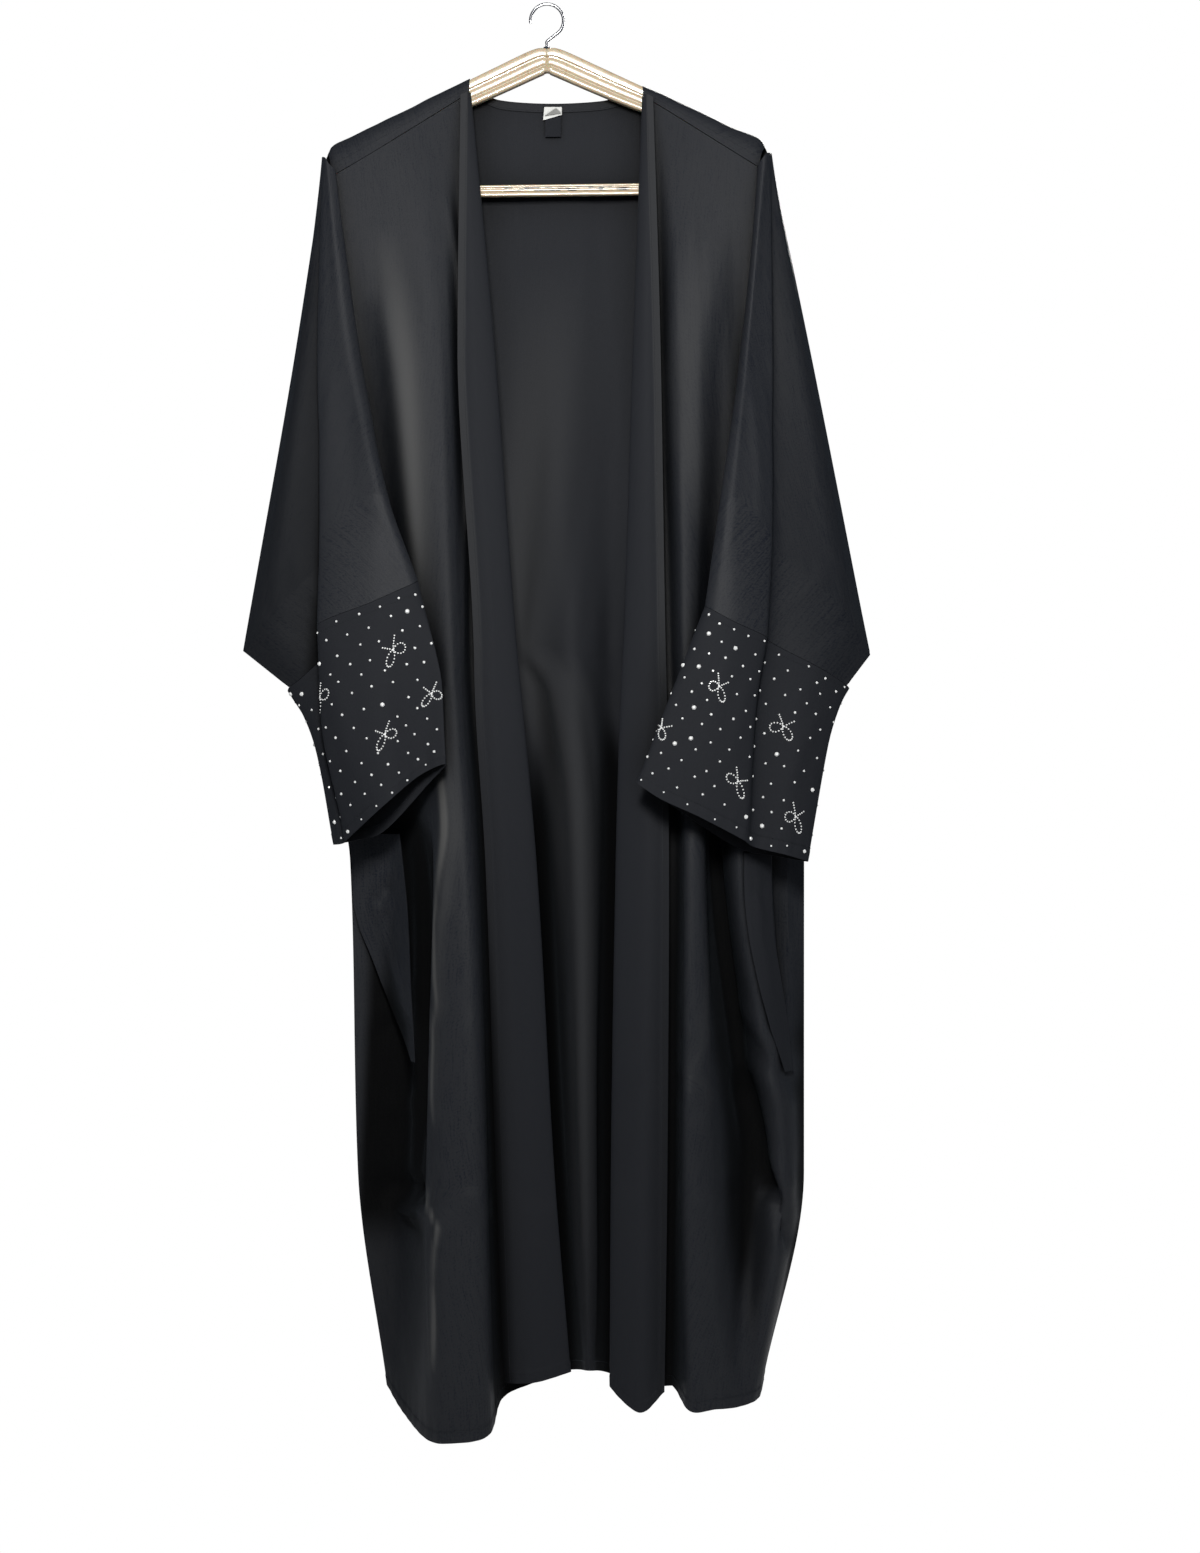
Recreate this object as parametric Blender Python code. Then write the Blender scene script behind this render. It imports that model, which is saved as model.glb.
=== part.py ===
"""Open abaya cloak on its hanger: batwing cut, rolled front edges, cuffs with a turned fold.

Metres, +Z up, the open front faces -Y. The origin is where the hook rests on a rail.
The tables below are in millimetres: x across, y in depth (front is negative), z from the rail.
"""
import math

import bmesh
import bpy
import numpy as np
from mathutils import Matrix, Vector

MM = 0.001

# ---- driving sizes, in millimetres -------------------------------------------------------------
CLOTH = 1.5               # wall of the cloth
SEAM = 0.3                # gap that two sewn edges keep
LAYER = CLOTH + SEAM      # distance between two layers that are sewn flat together
COLUMN_STEPS = 3          # cells between two named folds
ROW_LENGTH = 62           # height of a cell, about

HEIGHTS = (0, 360, 665, 706, 880, 1200, 1410)   # nominal drop of the body's named levels
SIDE_CORNERS = (2, 3)     # levels at which the side folds turn sharply: elbow and underarm

# Columns of the body's tables: fold, its x and its y at shoulder, chest, elbow, underarm, hip, knee
# and hem, then z of its upper end and of the hem.
FRONT_RIGHT = (
    ("side", (-219, -213, -246, -257, -202, -194, -163), (-10, -16, -22, -20, -6, -6, -16), -178.2, -1416),
    ("recess", (-202, -178, -155, -154, -152, -151, -144), (-10, -19, -25, -23, 0, 0, -42), -168.4, -1436),
    ("ridge_outer", (-166, -144, -122, -120, -114, -117, -117), (-10, -28, -38, -40, -54, -70, -82), -146.8, -1451),
    ("ridge", (-135, -116, -101, -99, -94, -96, -91), (-10, -35, -48, -50, -70, -88, -96), -127.7, -1451),
    ("ridge_inner", (-109, -100, -88, -86, -74, -62, -56), (-10, -31, -42, -44, -63, -80, -86), -111.8, -1446),
    ("gutter", (-92, -87, -78, -76, -65, -55, -45), (-10, -18, -25, -27, -31, -37, -42), -101.2, -1423),
    ("under", (-85, -72, -55, -53, -41, -24, -16), (-10, -17, -24, -26, -29, -34, -38), -96.9, -1409),
    ("roll", (-78, -53, -30, -26, -10, 9, 25), (-13, -25, -33, -35, -38, -43, -47), -94.5, -1394),
    ("lapel", (-81, -71, -51, -49, -37, -22, -10), (-17, -33, -41, -43, -47, -53, -57), -94.5, -1402),
    ("edge", (-88, -90, -73, -72, -61, -50, -42), (-18, -31, -38, -40, -45, -52, -56), -97.5, -1403),
)
FRONT_LEFT = (
    ("side", (216, 210, 280, 301, 264, 264, 221), (-10, -16, -22, -20, -8, -6, -16), -169, -1411),
    ("cowl", (198, 192, 199, 202, 198, 240, 214), (-10, -20, -32, -34, -56, -45, -42), -157.7, -1422),
    ("recess", (173, 173, 168, 168, 169, 203, 193), (-10, -26, -27, -26, -16, -12, -62), -142.2, -1425),
    ("ridge_outer", (147, 154, 153, 156, 157, 166, 169), (-10, -34, -40, -42, -55, -64, -74), -126, -1424),
    ("ridge_inner", (124, 136, 138, 139, 141, 140, 144), (-10, -32, -40, -42, -56, -70, -76), -111.8, -1425),
    ("gutter", (111, 118, 126, 127, 132, 130, 126), (-10, -18, -26, -28, -33, -36, -40), -104, -1409),
    ("under", (105, 104, 101, 100, 102, 100, 97), (-10, -17, -24, -26, -31, -36, -44), -100.4, -1423),
    ("roll", (98, 88, 78, 76, 71, 66, 65), (-13, -25, -33, -35, -40, -48, -54), -98, -1406),
    ("lapel", (103, 101, 100, 100, 100, 96, 94), (-17, -33, -41, -43, -52, -62, -68), -97, -1429),
    ("edge", (109, 116, 121, 122, 124, 122, 119), (-18, -31, -38, -40, -48, -54, -58), -100, -1411),
)
BACK = (
    ("side_right", (-228, -259, -312, -259, -202, -194, -163), (6, 5, -3, -17, -3, -2, -12), -156, -1416),
    ("outer_right", (-188, -220, -257, -239, -194, -178, -148), (9, 16, 20, 18, 27, 34, 28), -142, -1419),
    ("valley_right", (-152, -169, -191, -188, -158, -144, -122), (9, 20, 30, 34, 48, 52, 50), -124, -1428),
    ("ridge_right", (-116, -122, -132, -131, -116, -104, -89), (9, 16, 20, 22, 25, 28, 28), -106, -1421),
    ("neck_right", (-79, -78, -76, -74, -64, -51, -43), (10, 20, 32, 36, 47, 56, 58), -84, -1427),
    ("inner_right", (-49, -37, -19, -15, -3, 12, 23), (12, 22, 34, 38, 50, 56, 58), -94, -1421),
    ("centre", (3, 9, 26, 28, 33, 38, 43), (14, 15, 10, 8, 3, 0, 0), -97, -1406),
    ("inner_left", (55, 68, 67, 67, 64, 61, 61), (12, 22, 34, 38, 48, 54, 56), -95, -1423),
    ("neck_left", (98, 101, 96, 97, 101, 102, 102), (10, 20, 28, 32, 44, 50, 52), -88, -1436),
    ("ridge_left", (129, 138, 138, 140, 147, 146, 143), (9, 14, 18, 20, 23, 26, 26), -106, -1428),
    ("valley_left", (158, 174, 185, 189, 187, 183, 179), (9, 20, 32, 36, 48, 52, 50), -121, -1435),
    ("outer_left", (188, 226, 263, 256, 234, 226, 206), (9, 16, 20, 18, 31, 36, 30), -136.5, -1425),
    ("side_left", (228, 271, 332, 304, 264, 264, 221), (6, 5, -3, -17, -3, -2, -12), -152, -1416),
)
NECK = ("neck_right", "neck_left")      # the back's folds that bound its neckline
NECK_DEPTH = 14                         # y of the back's neckline at its middle
UNDERARM = 706                          # below it the fronts and the back share their side seams
SIDE_SEAM_DEPTH = 3.2                   # the back's edge lies this far behind the front's

# The back is one piece of cloth, and is parted here so that its collision stays open inside.
# Columns: node, first and last fold, first and last level.
BACK_NODES = (
    ("back_shoulder_right", "side_right", "neck_right", "seam", "crest"),
    ("back_shoulder_left", "neck_left", "side_left", "seam", "crest"),
    ("back_sleeve_right", "side_right", "outer_right", "crest", "underarm"),
    ("back_wing_right", "outer_right", "ridge_right", "crest", "underarm"),
    ("back_right", "ridge_right", "centre", "crest", "underarm"),
    ("back_left", "centre", "ridge_left", "crest", "underarm"),
    ("back_wing_left", "ridge_left", "outer_left", "crest", "underarm"),
    ("back_sleeve_left", "outer_left", "side_left", "crest", "underarm"),
    ("back_skirt_right", "side_right", "centre", "underarm", "hem"),
    ("back_skirt_left", "centre", "side_left", "underarm", "hem"),
)

# The back comes over the shoulder to the front. Columns of the arch: depth, share of the rise, share
# of the way out to the back's own folds. Columns of the shoulders: x, z of the highest line and of
# the seam.
SHOULDER_ARCH = ((-10, 0.0, 0.0), (-8.5, 0.66, 0.3), (-3, 1.0, 0.6), (3.5, 1.0, 0.8))
SHOULDER_RIGHT = ((-220, -147.5, -178), (-186, -129.8, -158.3), (-152, -112.6, -137.4),
                  (-116, -94.6, -115.2), (-80, -76.4, -93))
SHOULDER_LEFT = ((99, -83.9, -96), (129, -97.6, -114), (158, -111.5, -132),
                 (188, -126, -150.7), (217, -140.8, -168.7))

# The sleeve's front. Columns: fold, then its x, y, z at the shoulder tip, chest, elbow and cuff.
SLEEVE_HEIGHTS = (0, 180, 390, 480)
SLEEVE_CORNERS = (2,)                   # the top edge turns sharply at the elbow
ARMHOLE_LIFT = 2.6                      # the sleeve's edge lies this far in front of the front's
SLEEVE_RIGHT = (
    ("top_edge", (-229, 5, -156), (-259, 3, -354), (-312, -5, -665), (-262, -26, -703)),
    ("outer", (-231, -3, -157.5), (-249, -14, -352), (-276, -28, -625), (-246, -35, -692)),
    ("pleat_under", (-230, -8.5, -158.5), (-228, -21, -347), (-212, -38, -562), (-209, -45, -656)),
    ("pleat", (-229, -13, -159.5), (-232, -28, -345), (-227, -53, -556), (-228, -62, -642)),
    ("face", (-226, -17.6, -162), (-212, -36, -336), (-184, -62, -517), (-175, -74, -621)),
    ("face_inner", (-222.5, -18.6, -168), (-201, -37, -336), (-166, -64, -512), (-137, -72, -604)),
    ("inner_edge", (-216.5, -17, -174), (-193, -31, -340), (-158, -56, -516), (-128, -62, -599)),
    ("under", (-216.5, -14.4, -178), (-199, -26, -341), (-168, -46, -525), (-143, -52, -611)),
    ("hidden", (-217, -13.4, -180), (-206, -21, -343), (-203, -33, -575), (-200, -34, -652)),
    ("armhole", (-219, -12.8, -182), (-213, -18.6, -352), (-236, -26.6, -628), (-254, -23, -703)),
)
SLEEVE_LEFT = (
    ("top_edge", (229, 5, -152), (271, 3, -354), (332, -5, -669), (306, -26, -701)),
    ("outer", (231, -3, -153.5), (259, -14, -352), (298, -30, -620), (276, -44, -684)),
    ("pleat_under", (229.5, -8.5, -154.5), (231, -21, -347), (236, -43, -568), (228, -53, -660)),
    ("pleat", (228.5, -13, -155.5), (229, -28, -345), (225, -54, -550), (219, -64, -653)),
    ("face", (225, -17.6, -157), (211, -36, -336), (197, -62, -517), (189, -74, -640)),
    ("face_inner", (221, -18.6, -162), (205, -37, -336), (184, -64, -517), (169, -73, -629)),
    ("inner_edge", (217, -16.6, -167.5), (201, -31, -340), (176, -56, -516), (160, -63, -624)),
    ("under", (216, -14.2, -171), (206, -26, -341), (187, -46, -525), (176, -52, -634)),
    ("hidden", (216, -13.4, -173), (209, -21, -343), (219, -33, -575), (230, -36, -664)),
    ("armhole", (216, -12.8, -174.5), (210.5, -18.6, -352), (262, -26.6, -622), (296, -23, -701)),
)

# The cuff's upper ring is the sleeve's end. Columns: the sleeve's fold that it goes on from, then
# its x, y, z half way down and at the hem.
CUFF_HEIGHTS = (0, 90, 190)
CUFF_SEAM = 0.7                         # gap between the sleeve and the cuff
CUFF_RIGHT = (
    ("top_edge", (-235, -39, -757), (-212, -51, -862)),
    ("outer", (-227, -49, -755), (-207, -60, -862)),
    ("pleat_under", (-214, -57, -742), (-201, -66, -860)),
    ("pleat", (-222, -72, -738), (-194, -77, -854)),
    ("face", (-171, -87, -718), (-158, -93, -822)),
    ("face_inner", (-124, -77, -708), (-126, -80, -794)),
    ("inner_edge", (-102, -78, -707), (-99, -82, -782)),
    ("under", (-122, -64, -718), (-117, -68, -802)),
    ("hidden", (-182, -48, -757), (-161, -57, -848)),
    ("armhole", (-222, -34, -757), (-190, -49, -858)),
)
CUFF_LEFT = (
    ("top_edge", (289, -44, -745), (262, -64, -879)),
    ("outer", (257, -61, -739), (240, -77, -872)),
    ("pleat_under", (214, -67, -733), (208, -80, -864)),
    ("pleat", (206, -78, -726), (195, -89, -856)),
    ("face", (169, -88, -715), (153, -95, -834)),
    ("face_inner", (144, -83, -708), (114, -91, -816)),
    ("inner_edge", (126, -75, -710), (91, -83, -800)),
    ("under", (147, -62, -717), (119, -70, -818)),
    ("hidden", (218, -46, -742), (190, -61, -864)),
    ("armhole", (264, -38, -742), (232, -57, -874)),
)

# Pocket bags. Columns: z, the outer and inner edge as shares of the way from the side seam to the
# next fold, then how far the outer and the inner edge stand off the panel.
POCKET_RIGHT = (
    (-850, 0.02, 1.06, 2.3, 18), (-925, 0.02, 1.14, 2.3, 24), (-952, 0.14, 1.17, 4, 26),
    (-1005, 0.56, 1.21, 12, 24), (-1048, 0.90, 1.26, 16, 22), (-1090, 1.15, 1.36, 16, 18),
)
POCKET_LEFT = (
    (-870, 0.42, 0.94, 2.3, 3), (-915, 0.44, 0.97, 2.3, 4), (-960, 0.46, 0.98, 2.3, 4),
    (-1010, 0.42, 0.92, 2.3, 4), (-1052, 0.38, 0.84, 2.3, 4), (-1100, 0.40, 0.62, 2.3, 3),
)
POCKET_CELLS = 5

NECK_BAND = 9            # width of the band inside the back neck
NECK_BAND_TOP = 0.2      # drop from the neckline to the band's upper edge
NECK_ROW = 4.0           # the grid's spare rows above the neckline, which hold no cloth
LABEL = (18, 11)         # blank label: width, height
SIZE_TAB = (11, 20)
LABEL_CENTRE = 6         # x of the label
LABEL_TOP = -101
LABEL_THICK = 0.5

# Half of the hanger's closed frame, from the crown down to the bar. Columns: x and z of the centre
# line, height and depth of the section.
HANGER_HALF = (
    (0, -58.6, 24, 11), (12, -61, 26, 10.5), (45, -74.6, 26, 10), (78, -89.7, 25, 10),
    (120, -108, 22, 10), (165, -128.6, 19, 10), (196, -143.2, 17, 10), (211, -156.5, 15, 10),
    (211, -174, 13, 9), (197, -186, 11.5, 8), (160, -190.6, 11.5, 7), (80, -190.6, 11.5, 7),
)
HANGER_TILT = 0.0125     # rise of the frame toward the wearer's left
HANGER_STEPS = 2
HANGER_SIDES = 8
ROUND_SIDES = 24         # of the hook's collar

HOOK_WIRE = 1.7          # radius
HOOK_RADIUS = 17         # of the wire's centre line
HOOK_TIP = math.radians(-100)   # turn of the open end from the top
HOOK_END = math.radians(140)    # turn where the ring leaves for the stem
HOOK_NECK = ((0.26, 1.06), (0, 1.28))   # bend to the stem: x and drop, in radii from the centre
HOOK_ARC_STEPS = 16
HOOK_SIDES = 8
CROWN_TOP = HANGER_HALF[0][1] + HANGER_HALF[0][2] / 2 * math.cos(math.pi / HANGER_SIDES)
COLLAR_FOOT = 4.6        # radii and height of the swivel collar on the crown
COLLAR_HEAD = 3.7
COLLAR_HEIGHT = 4.0
HOOK_FOOT = CROWN_TOP + SEAM + COLLAR_HEIGHT + SEAM      # z of the lower end of the wire

SHARP_EDGE = math.radians(40)

# Columns: name, base colour, roughness, metallic.
MATERIALS = (
    ("cloak_cloth", (0.012, 0.013, 0.018, 1), 0.55, 0),
    ("label_fabric", (0.72, 0.72, 0.70, 1), 0.8, 0),
    ("hanger_plastic", (0.62, 0.60, 0.54, 1), 0.25, 0),
    ("hook_metal", (0.62, 0.62, 0.64, 1), 0.25, 1),
)


# ---- curves ------------------------------------------------------------------------------------
def monotone(knots, values, at, corners=()):
    """A curve through the values that never overshoots them (Fritsch-Carlson slopes).

    It turns sharply at the knots that are named as corners, and is smooth at the others.
    """
    knots = np.asarray(knots, float)
    values = np.asarray(values, float)
    gaps = np.diff(knots)
    slopes = np.diff(values, axis=0) / gaps.reshape((-1,) + (1,) * (values.ndim - 1))
    tangents = np.zeros_like(values)
    tangents[0] = slopes[0]
    tangents[-1] = slopes[-1]
    for i in range(1, len(knots) - 1):
        before, after = slopes[i - 1], slopes[i]
        same = before * after > 0
        near = 2 * gaps[i] + gaps[i - 1]
        far = gaps[i] + 2 * gaps[i - 1]
        safe_before = np.where(same, before, 1)
        safe_after = np.where(same, after, 1)
        tangents[i] = np.where(same, (near + far) / (near / safe_before + far / safe_after), 0)
    arriving, leaving = tangents.copy(), tangents.copy()
    for i in corners:
        arriving[i], leaving[i] = slopes[i - 1], slopes[i]
    out = []
    for place in at:
        i = min(max(int(np.searchsorted(knots, place)) - 1, 0), len(gaps) - 1)
        h = gaps[i]
        s = (place - knots[i]) / h
        out.append((1 + 2 * s) * (1 - s) ** 2 * values[i] + s * (1 - s) ** 2 * h * leaving[i]
                   + s * s * (3 - 2 * s) * values[i + 1] - s * s * (1 - s) * h * arriving[i + 1])
    return np.array(out)


def rounded(points, steps, closed=False):
    """Points of a Catmull-Rom curve, `steps` to each interval, along the second axis of a grid."""
    count = points.shape[1]
    last = count if closed else count - 1
    columns = []
    for i in range(last):
        if closed:
            a, b, c, d = (points[:, (i + k) % count] for k in (-1, 0, 1, 2))
        else:
            b, c = points[:, i], points[:, i + 1]
            a = points[:, i - 1] if i > 0 else 2 * b - c
            d = points[:, i + 2] if i + 2 < count else 2 * c - b
        for k in range(steps):
            s = k / steps
            columns.append(0.5 * (2 * b + (c - a) * s + (2 * a - 5 * b + 4 * c - d) * s ** 2
                                  + (3 * b - 3 * c + d - a) * s ** 3))
    if not closed:
        columns.append(points[:, -1])
    return np.stack(columns, axis=1)


def row_places(heights):
    """Even rows between the named heights, each about ROW_LENGTH tall."""
    places = [heights[0]]
    for low, high in zip(heights, heights[1:]):
        count = max(1, round((high - low) / ROW_LENGTH))
        places += [low + (high - low) * (k + 1) / count for k in range(count)]
    return places


# ---- panels ------------------------------------------------------------------------------------
def body_folds(table, places):
    """Rows by height, a column for each named fold of a body panel."""
    folds = []
    for name, xs, ys, top, hem in table:
        zs = (top,) + tuple(-h for h in HEIGHTS[1:-1]) + (hem,)
        corners = SIDE_CORNERS if name.startswith("side") else ()
        folds.append(monotone(HEIGHTS, np.array(list(zip(xs, ys, zs)), float), places, corners))
    return np.stack(folds, axis=1)


def normals_of(grid, closed=False):
    down = np.gradient(grid, axis=0)
    if closed:
        across = (np.roll(grid, -1, axis=1) - np.roll(grid, 1, axis=1)) / 2
    else:
        across = np.gradient(grid, axis=1)
    normal = np.cross(down, across)
    length = np.linalg.norm(normal, axis=2, keepdims=True)
    return normal / np.maximum(length, 1e-9)


def wall(name, grid, material, closed=False, normals=None):
    """A closed solid of even thickness on both sides of the grid."""
    rows, columns = grid.shape[:2]
    if normals is None:
        normals = normals_of(grid, closed)
    sides = (grid + normals * CLOTH / 2, grid - normals * CLOTH / 2)
    last = columns if closed else columns - 1
    cells = {(r, c) for r in range(rows - 1) for c in range(last)}
    mesh = bmesh.new()
    made = {}

    def vertex(side, r, c):
        key = (side, r, c % columns)
        if key not in made:
            made[key] = mesh.verts.new(sides[side][key[1], key[2]] * MM)
        return made[key]

    for r, c in sorted(cells):
        for side, turn in ((0, 1), (1, -1)):
            a, b = vertex(side, r, c), vertex(side, r, c + 1)
            d, e = vertex(side, r + 1, c), vertex(side, r + 1, c + 1)
            mesh.faces.new((a, d, e)[::turn])
            mesh.faces.new((a, e, b)[::turn])
        for dr, dc, ends in ((-1, 0, ((r, c), (r, c + 1))), (1, 0, ((r + 1, c + 1), (r + 1, c))),
                             (0, -1, ((r + 1, c), (r, c))), (0, 1, ((r, c + 1), (r + 1, c + 1)))):
            beside = (r + dr, (c + dc) % columns if closed else c + dc)
            if beside in cells:
                continue
            (r1, c1), (r2, c2) = ends
            p, q = vertex(0, r1, c1), vertex(0, r2, c2)
            s, t = vertex(1, r1, c1), vertex(1, r2, c2)
            mesh.faces.new((p, q, t))
            mesh.faces.new((p, t, s))
    bmesh.ops.recalc_face_normals(mesh, faces=mesh.faces)
    return finish(name, mesh, material)


def finish(name, mesh, material, smooth=True):
    data = bpy.data.meshes.new(name)
    mesh.to_mesh(data)
    mesh.free()
    if smooth:
        data.shade_smooth()
        data.set_sharp_from_angle(angle=SHARP_EDGE)
    piece = bpy.data.objects.new(name, data)
    piece.data.materials.append(material)
    bpy.context.scene.collection.objects.link(piece)
    return piece


def finish_material(name, colour, roughness, metallic):
    material = bpy.data.materials.new(name)
    material.use_nodes = True
    shader = material.node_tree.nodes["Principled BSDF"]
    shader.inputs["Base Color"].default_value = colour
    shader.inputs["Roughness"].default_value = roughness
    shader.inputs["Metallic"].default_value = metallic
    return material


# ---- the cloak's pieces ------------------------------------------------------------------------
def front(name, table, cloth):
    folds = body_folds(table, row_places(HEIGHTS))
    grid = rounded(folds, COLUMN_STEPS)
    wall(name, grid, cloth)
    return folds, grid


def back(cloth, right, left):
    """The back with the sleeves' backs in one, and its shoulders that come forward to the seam."""
    places = row_places(HEIGHTS)
    folds = body_folds(BACK, places)
    below = [r for r, place in enumerate(places) if place >= UNDERARM]
    behind = np.array((0, SIDE_SEAM_DEPTH, 0))
    folds[below, 0] = right[below, 0] + behind
    folds[below, -1] = left[below, 0] + behind
    grid = rounded(folds, COLUMN_STEPS)
    shoulder = {}
    for part, first in ((SHOULDER_RIGHT, 0), (SHOULDER_LEFT, len(BACK) - len(SHOULDER_LEFT))):
        behind_x = folds[0, first:first + len(part), 0]
        profile = [[(x + (own - x) * out, y, seam + (crest - seam) * rise)
                    for (x, crest, seam), own in zip(part, behind_x)]
                   for y, rise, out in SHOULDER_ARCH]
        strip = rounded(np.array(profile, float), COLUMN_STEPS)
        shoulder[first * COLUMN_STEPS] = strip
    count = len(SHOULDER_ARCH)
    added = np.repeat(grid[:1], count, axis=0)
    for start, strip in shoulder.items():
        added[:, start:start + strip.shape[1]] = strip
    column = {row[0]: i * COLUMN_STEPS for i, row in enumerate(BACK)}
    low, high = (column[name] for name in NECK)
    inside = slice(low + 1, high)
    for r in range(count):
        added[r, inside] = grid[0, inside] + np.array((0, 0, NECK_ROW * (count - r)))
    whole = np.concatenate((added, grid))
    normals = normals_of(whole)
    row = {"seam": 0, "crest": count, "underarm": count + below[0], "hem": len(whole) - 1}
    for name, first, last, top, foot in BACK_NODES:
        rows = slice(row[top], row[foot] + 1)
        columns = slice(column[first], column[last] + 1)
        part = whole[rows, columns].copy()
        if top != "seam":
            draw_in(part, 0)
        if foot != "hem":
            draw_in(part, -1)
        turned = part.swapaxes(0, 1)
        if first not in ("side_right", NECK[1]):
            draw_in(turned, 0)
        if last not in ("side_left", NECK[0]):
            draw_in(turned, -1)
        wall(name, part, cloth, normals=normals[rows, columns])
    return grid, low, high


def draw_in(grid, edge):
    """Draws the grid's first or last row back by half a seam's gap."""
    inward = grid[1 if edge == 0 else -2] - grid[edge]
    grid[edge] += inward / np.linalg.norm(inward, axis=1, keepdims=True) * SEAM / 2


def neck_band(grid, low, high, cloth):
    """The strip inside the back neckline, one layer in front of the back."""
    top = grid[0, low:high + 1]
    below = grid[1, low:high + 1]
    slope = (below - top) / np.linalg.norm(below - top, axis=1, keepdims=True)
    rows = [top + slope * NECK_BAND_TOP, top + slope * NECK_BAND / 2, top + slope * NECK_BAND]
    strip = np.stack(rows)
    strip[:, :, 1] -= LAYER
    wall("neck_band", strip[:, 1:-1], cloth)


def flat_tag(name, centre_x, top, size, y, thick, material):
    width, height = size
    mesh = bmesh.new()
    bmesh.ops.create_cube(mesh, size=1)
    place = Vector((centre_x, y, top - height / 2)) * MM
    sizes = Matrix.Diagonal((width * MM, thick * MM, height * MM, 1))
    bmesh.ops.transform(mesh, matrix=Matrix.Translation(place) @ sizes, verts=mesh.verts)
    return finish(name, mesh, material, smooth=False)


def sleeve_grid(table, front_panel):
    """The sleeve's front: its last fold is sewn over the front's side edge."""
    folds = [monotone(SLEEVE_HEIGHTS, row[1:], row_places(SLEEVE_HEIGHTS),
                      SLEEVE_CORNERS if row[0] == "top_edge" else ()) for row in table]
    side = front_panel[:, 0]
    armhole = folds[-1]
    for k, axis_lift in ((0, 0.0), (1, -ARMHOLE_LIFT)):
        armhole[:, k] = np.interp(-armhole[:, 2], -side[:, 2], side[:, k]) + axis_lift
    return rounded(np.stack(folds, axis=1), COLUMN_STEPS)


def cuff_grid(table, sleeve):
    """The cuff's ring goes on from the sleeve's last row."""
    tops = sleeve[-1, ::COLUMN_STEPS]
    folds = [monotone(CUFF_HEIGHTS, np.array((top,) + row[1:], float), row_places(CUFF_HEIGHTS))
             for top, row in zip(tops, table)]
    return rounded(np.stack(folds, axis=1), COLUMN_STEPS, closed=True)


def sleeve_and_cuff(side, sleeve_table, cuff_table, front_panel, cloth):
    """Both walls end square to one shared direction, so their edges face each other."""
    sleeve = sleeve_grid(sleeve_table, front_panel)
    cuff = cuff_grid(cuff_table, sleeve)
    shared = sleeve.shape[1]
    cuff[0, :shared] = sleeve[-1]
    sleeve_normals = normals_of(sleeve)
    cuff_normals = normals_of(cuff, closed=True)
    mean = sleeve_normals[-1] + cuff_normals[0, :shared]
    mean /= np.linalg.norm(mean, axis=1, keepdims=True)
    sleeve_normals[-1] = mean
    cuff_normals[0, :shared] = mean
    fall = cuff[1] - cuff[0]
    cuff[0] += fall / np.linalg.norm(fall, axis=1, keepdims=True) * CUFF_SEAM
    wall(f"sleeve_{side}", sleeve, cloth, normals=sleeve_normals)
    wall(f"cuff_{side}", cuff, cloth, closed=True, normals=cuff_normals)


def pocket(name, panel, table, cloth):
    """A bag that hangs on the panel's side, moved out from the panel's own points."""
    outward = normals_of(panel)
    outward = outward * np.where(outward[..., 1:2] > 0, -1.0, 1.0)
    table = np.array(table, float)[::-1]
    rows = []
    for r in range(len(panel)):
        z = panel[r, 0, 2]
        if not table[0, 0] <= z <= table[-1, 0]:
            continue
        outer, inner, lift_outer, lift_inner = (
            np.interp(z, table[:, 0], table[:, k]) for k in range(1, 5))
        points = []
        for k in range(POCKET_CELLS + 1):
            share = k / POCKET_CELLS
            along = (outer + (inner - outer) * share) * COLUMN_STEPS
            i = int(along)
            base = panel[r, i] * (1 - along + i) + panel[r, i + 1] * (along - i)
            normal = outward[r, i] * (1 - along + i) + outward[r, i + 1] * (along - i)
            normal = normal * (1 - share) + np.array((0, -1, 0)) * share
            lift = lift_outer + (lift_inner - lift_outer) * share
            points.append(base + normal / np.linalg.norm(normal) * lift)
        rows.append(points)
    wall(name, np.array(rows), cloth)


# ---- hanger ------------------------------------------------------------------------------------
def loft(loops, closed):
    """A mesh through rings of points, joined round or capped at both ends."""
    mesh = bmesh.new()
    rings = [[mesh.verts.new(Vector(point) * MM) for point in loop] for loop in loops]
    count = len(rings[0])
    for i in range(len(rings) if closed else len(rings) - 1):
        ring, after = rings[i], rings[(i + 1) % len(rings)]
        for k in range(count):
            n = (k + 1) % count
            mesh.faces.new((ring[k], ring[n], after[n], after[k]))
    if not closed:
        mesh.faces.new(rings[0][::-1])
        mesh.faces.new(rings[-1])
    bmesh.ops.recalc_face_normals(mesh, faces=mesh.faces)
    return mesh


def section(x, z, along, height, depth, sides):
    """An oval ring square to the way that the path goes in the XZ plane."""
    across = Vector((-along[1], 0, along[0])).normalized()
    ring = []
    for k in range(sides):
        turn = 2 * math.pi * (k + 0.5) / sides
        point = Vector((x, 0, z)) + across * (height / 2 * math.cos(turn))
        point.y = depth / 2 * math.sin(turn)
        ring.append(point)
    return ring


def hanger(plastic):
    """A closed loft round the frame: crown, arms, tips and bar."""
    half = np.array(HANGER_HALF, float)
    mirrored = half[1:][::-1] * (-1, 1, 1, 1)
    path = rounded(np.concatenate((half, mirrored))[None], HANGER_STEPS, closed=True)[0]
    path[:, 1] += path[:, 0] * HANGER_TILT
    loops = []
    for i, (x, z, height, depth) in enumerate(path):
        along = path[(i + 1) % len(path), :2] - path[i - 1, :2]
        loops.append(section(x, z, along, height, depth, HANGER_SIDES))
    finish("hanger_frame", loft(loops, closed=True), plastic)


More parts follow.
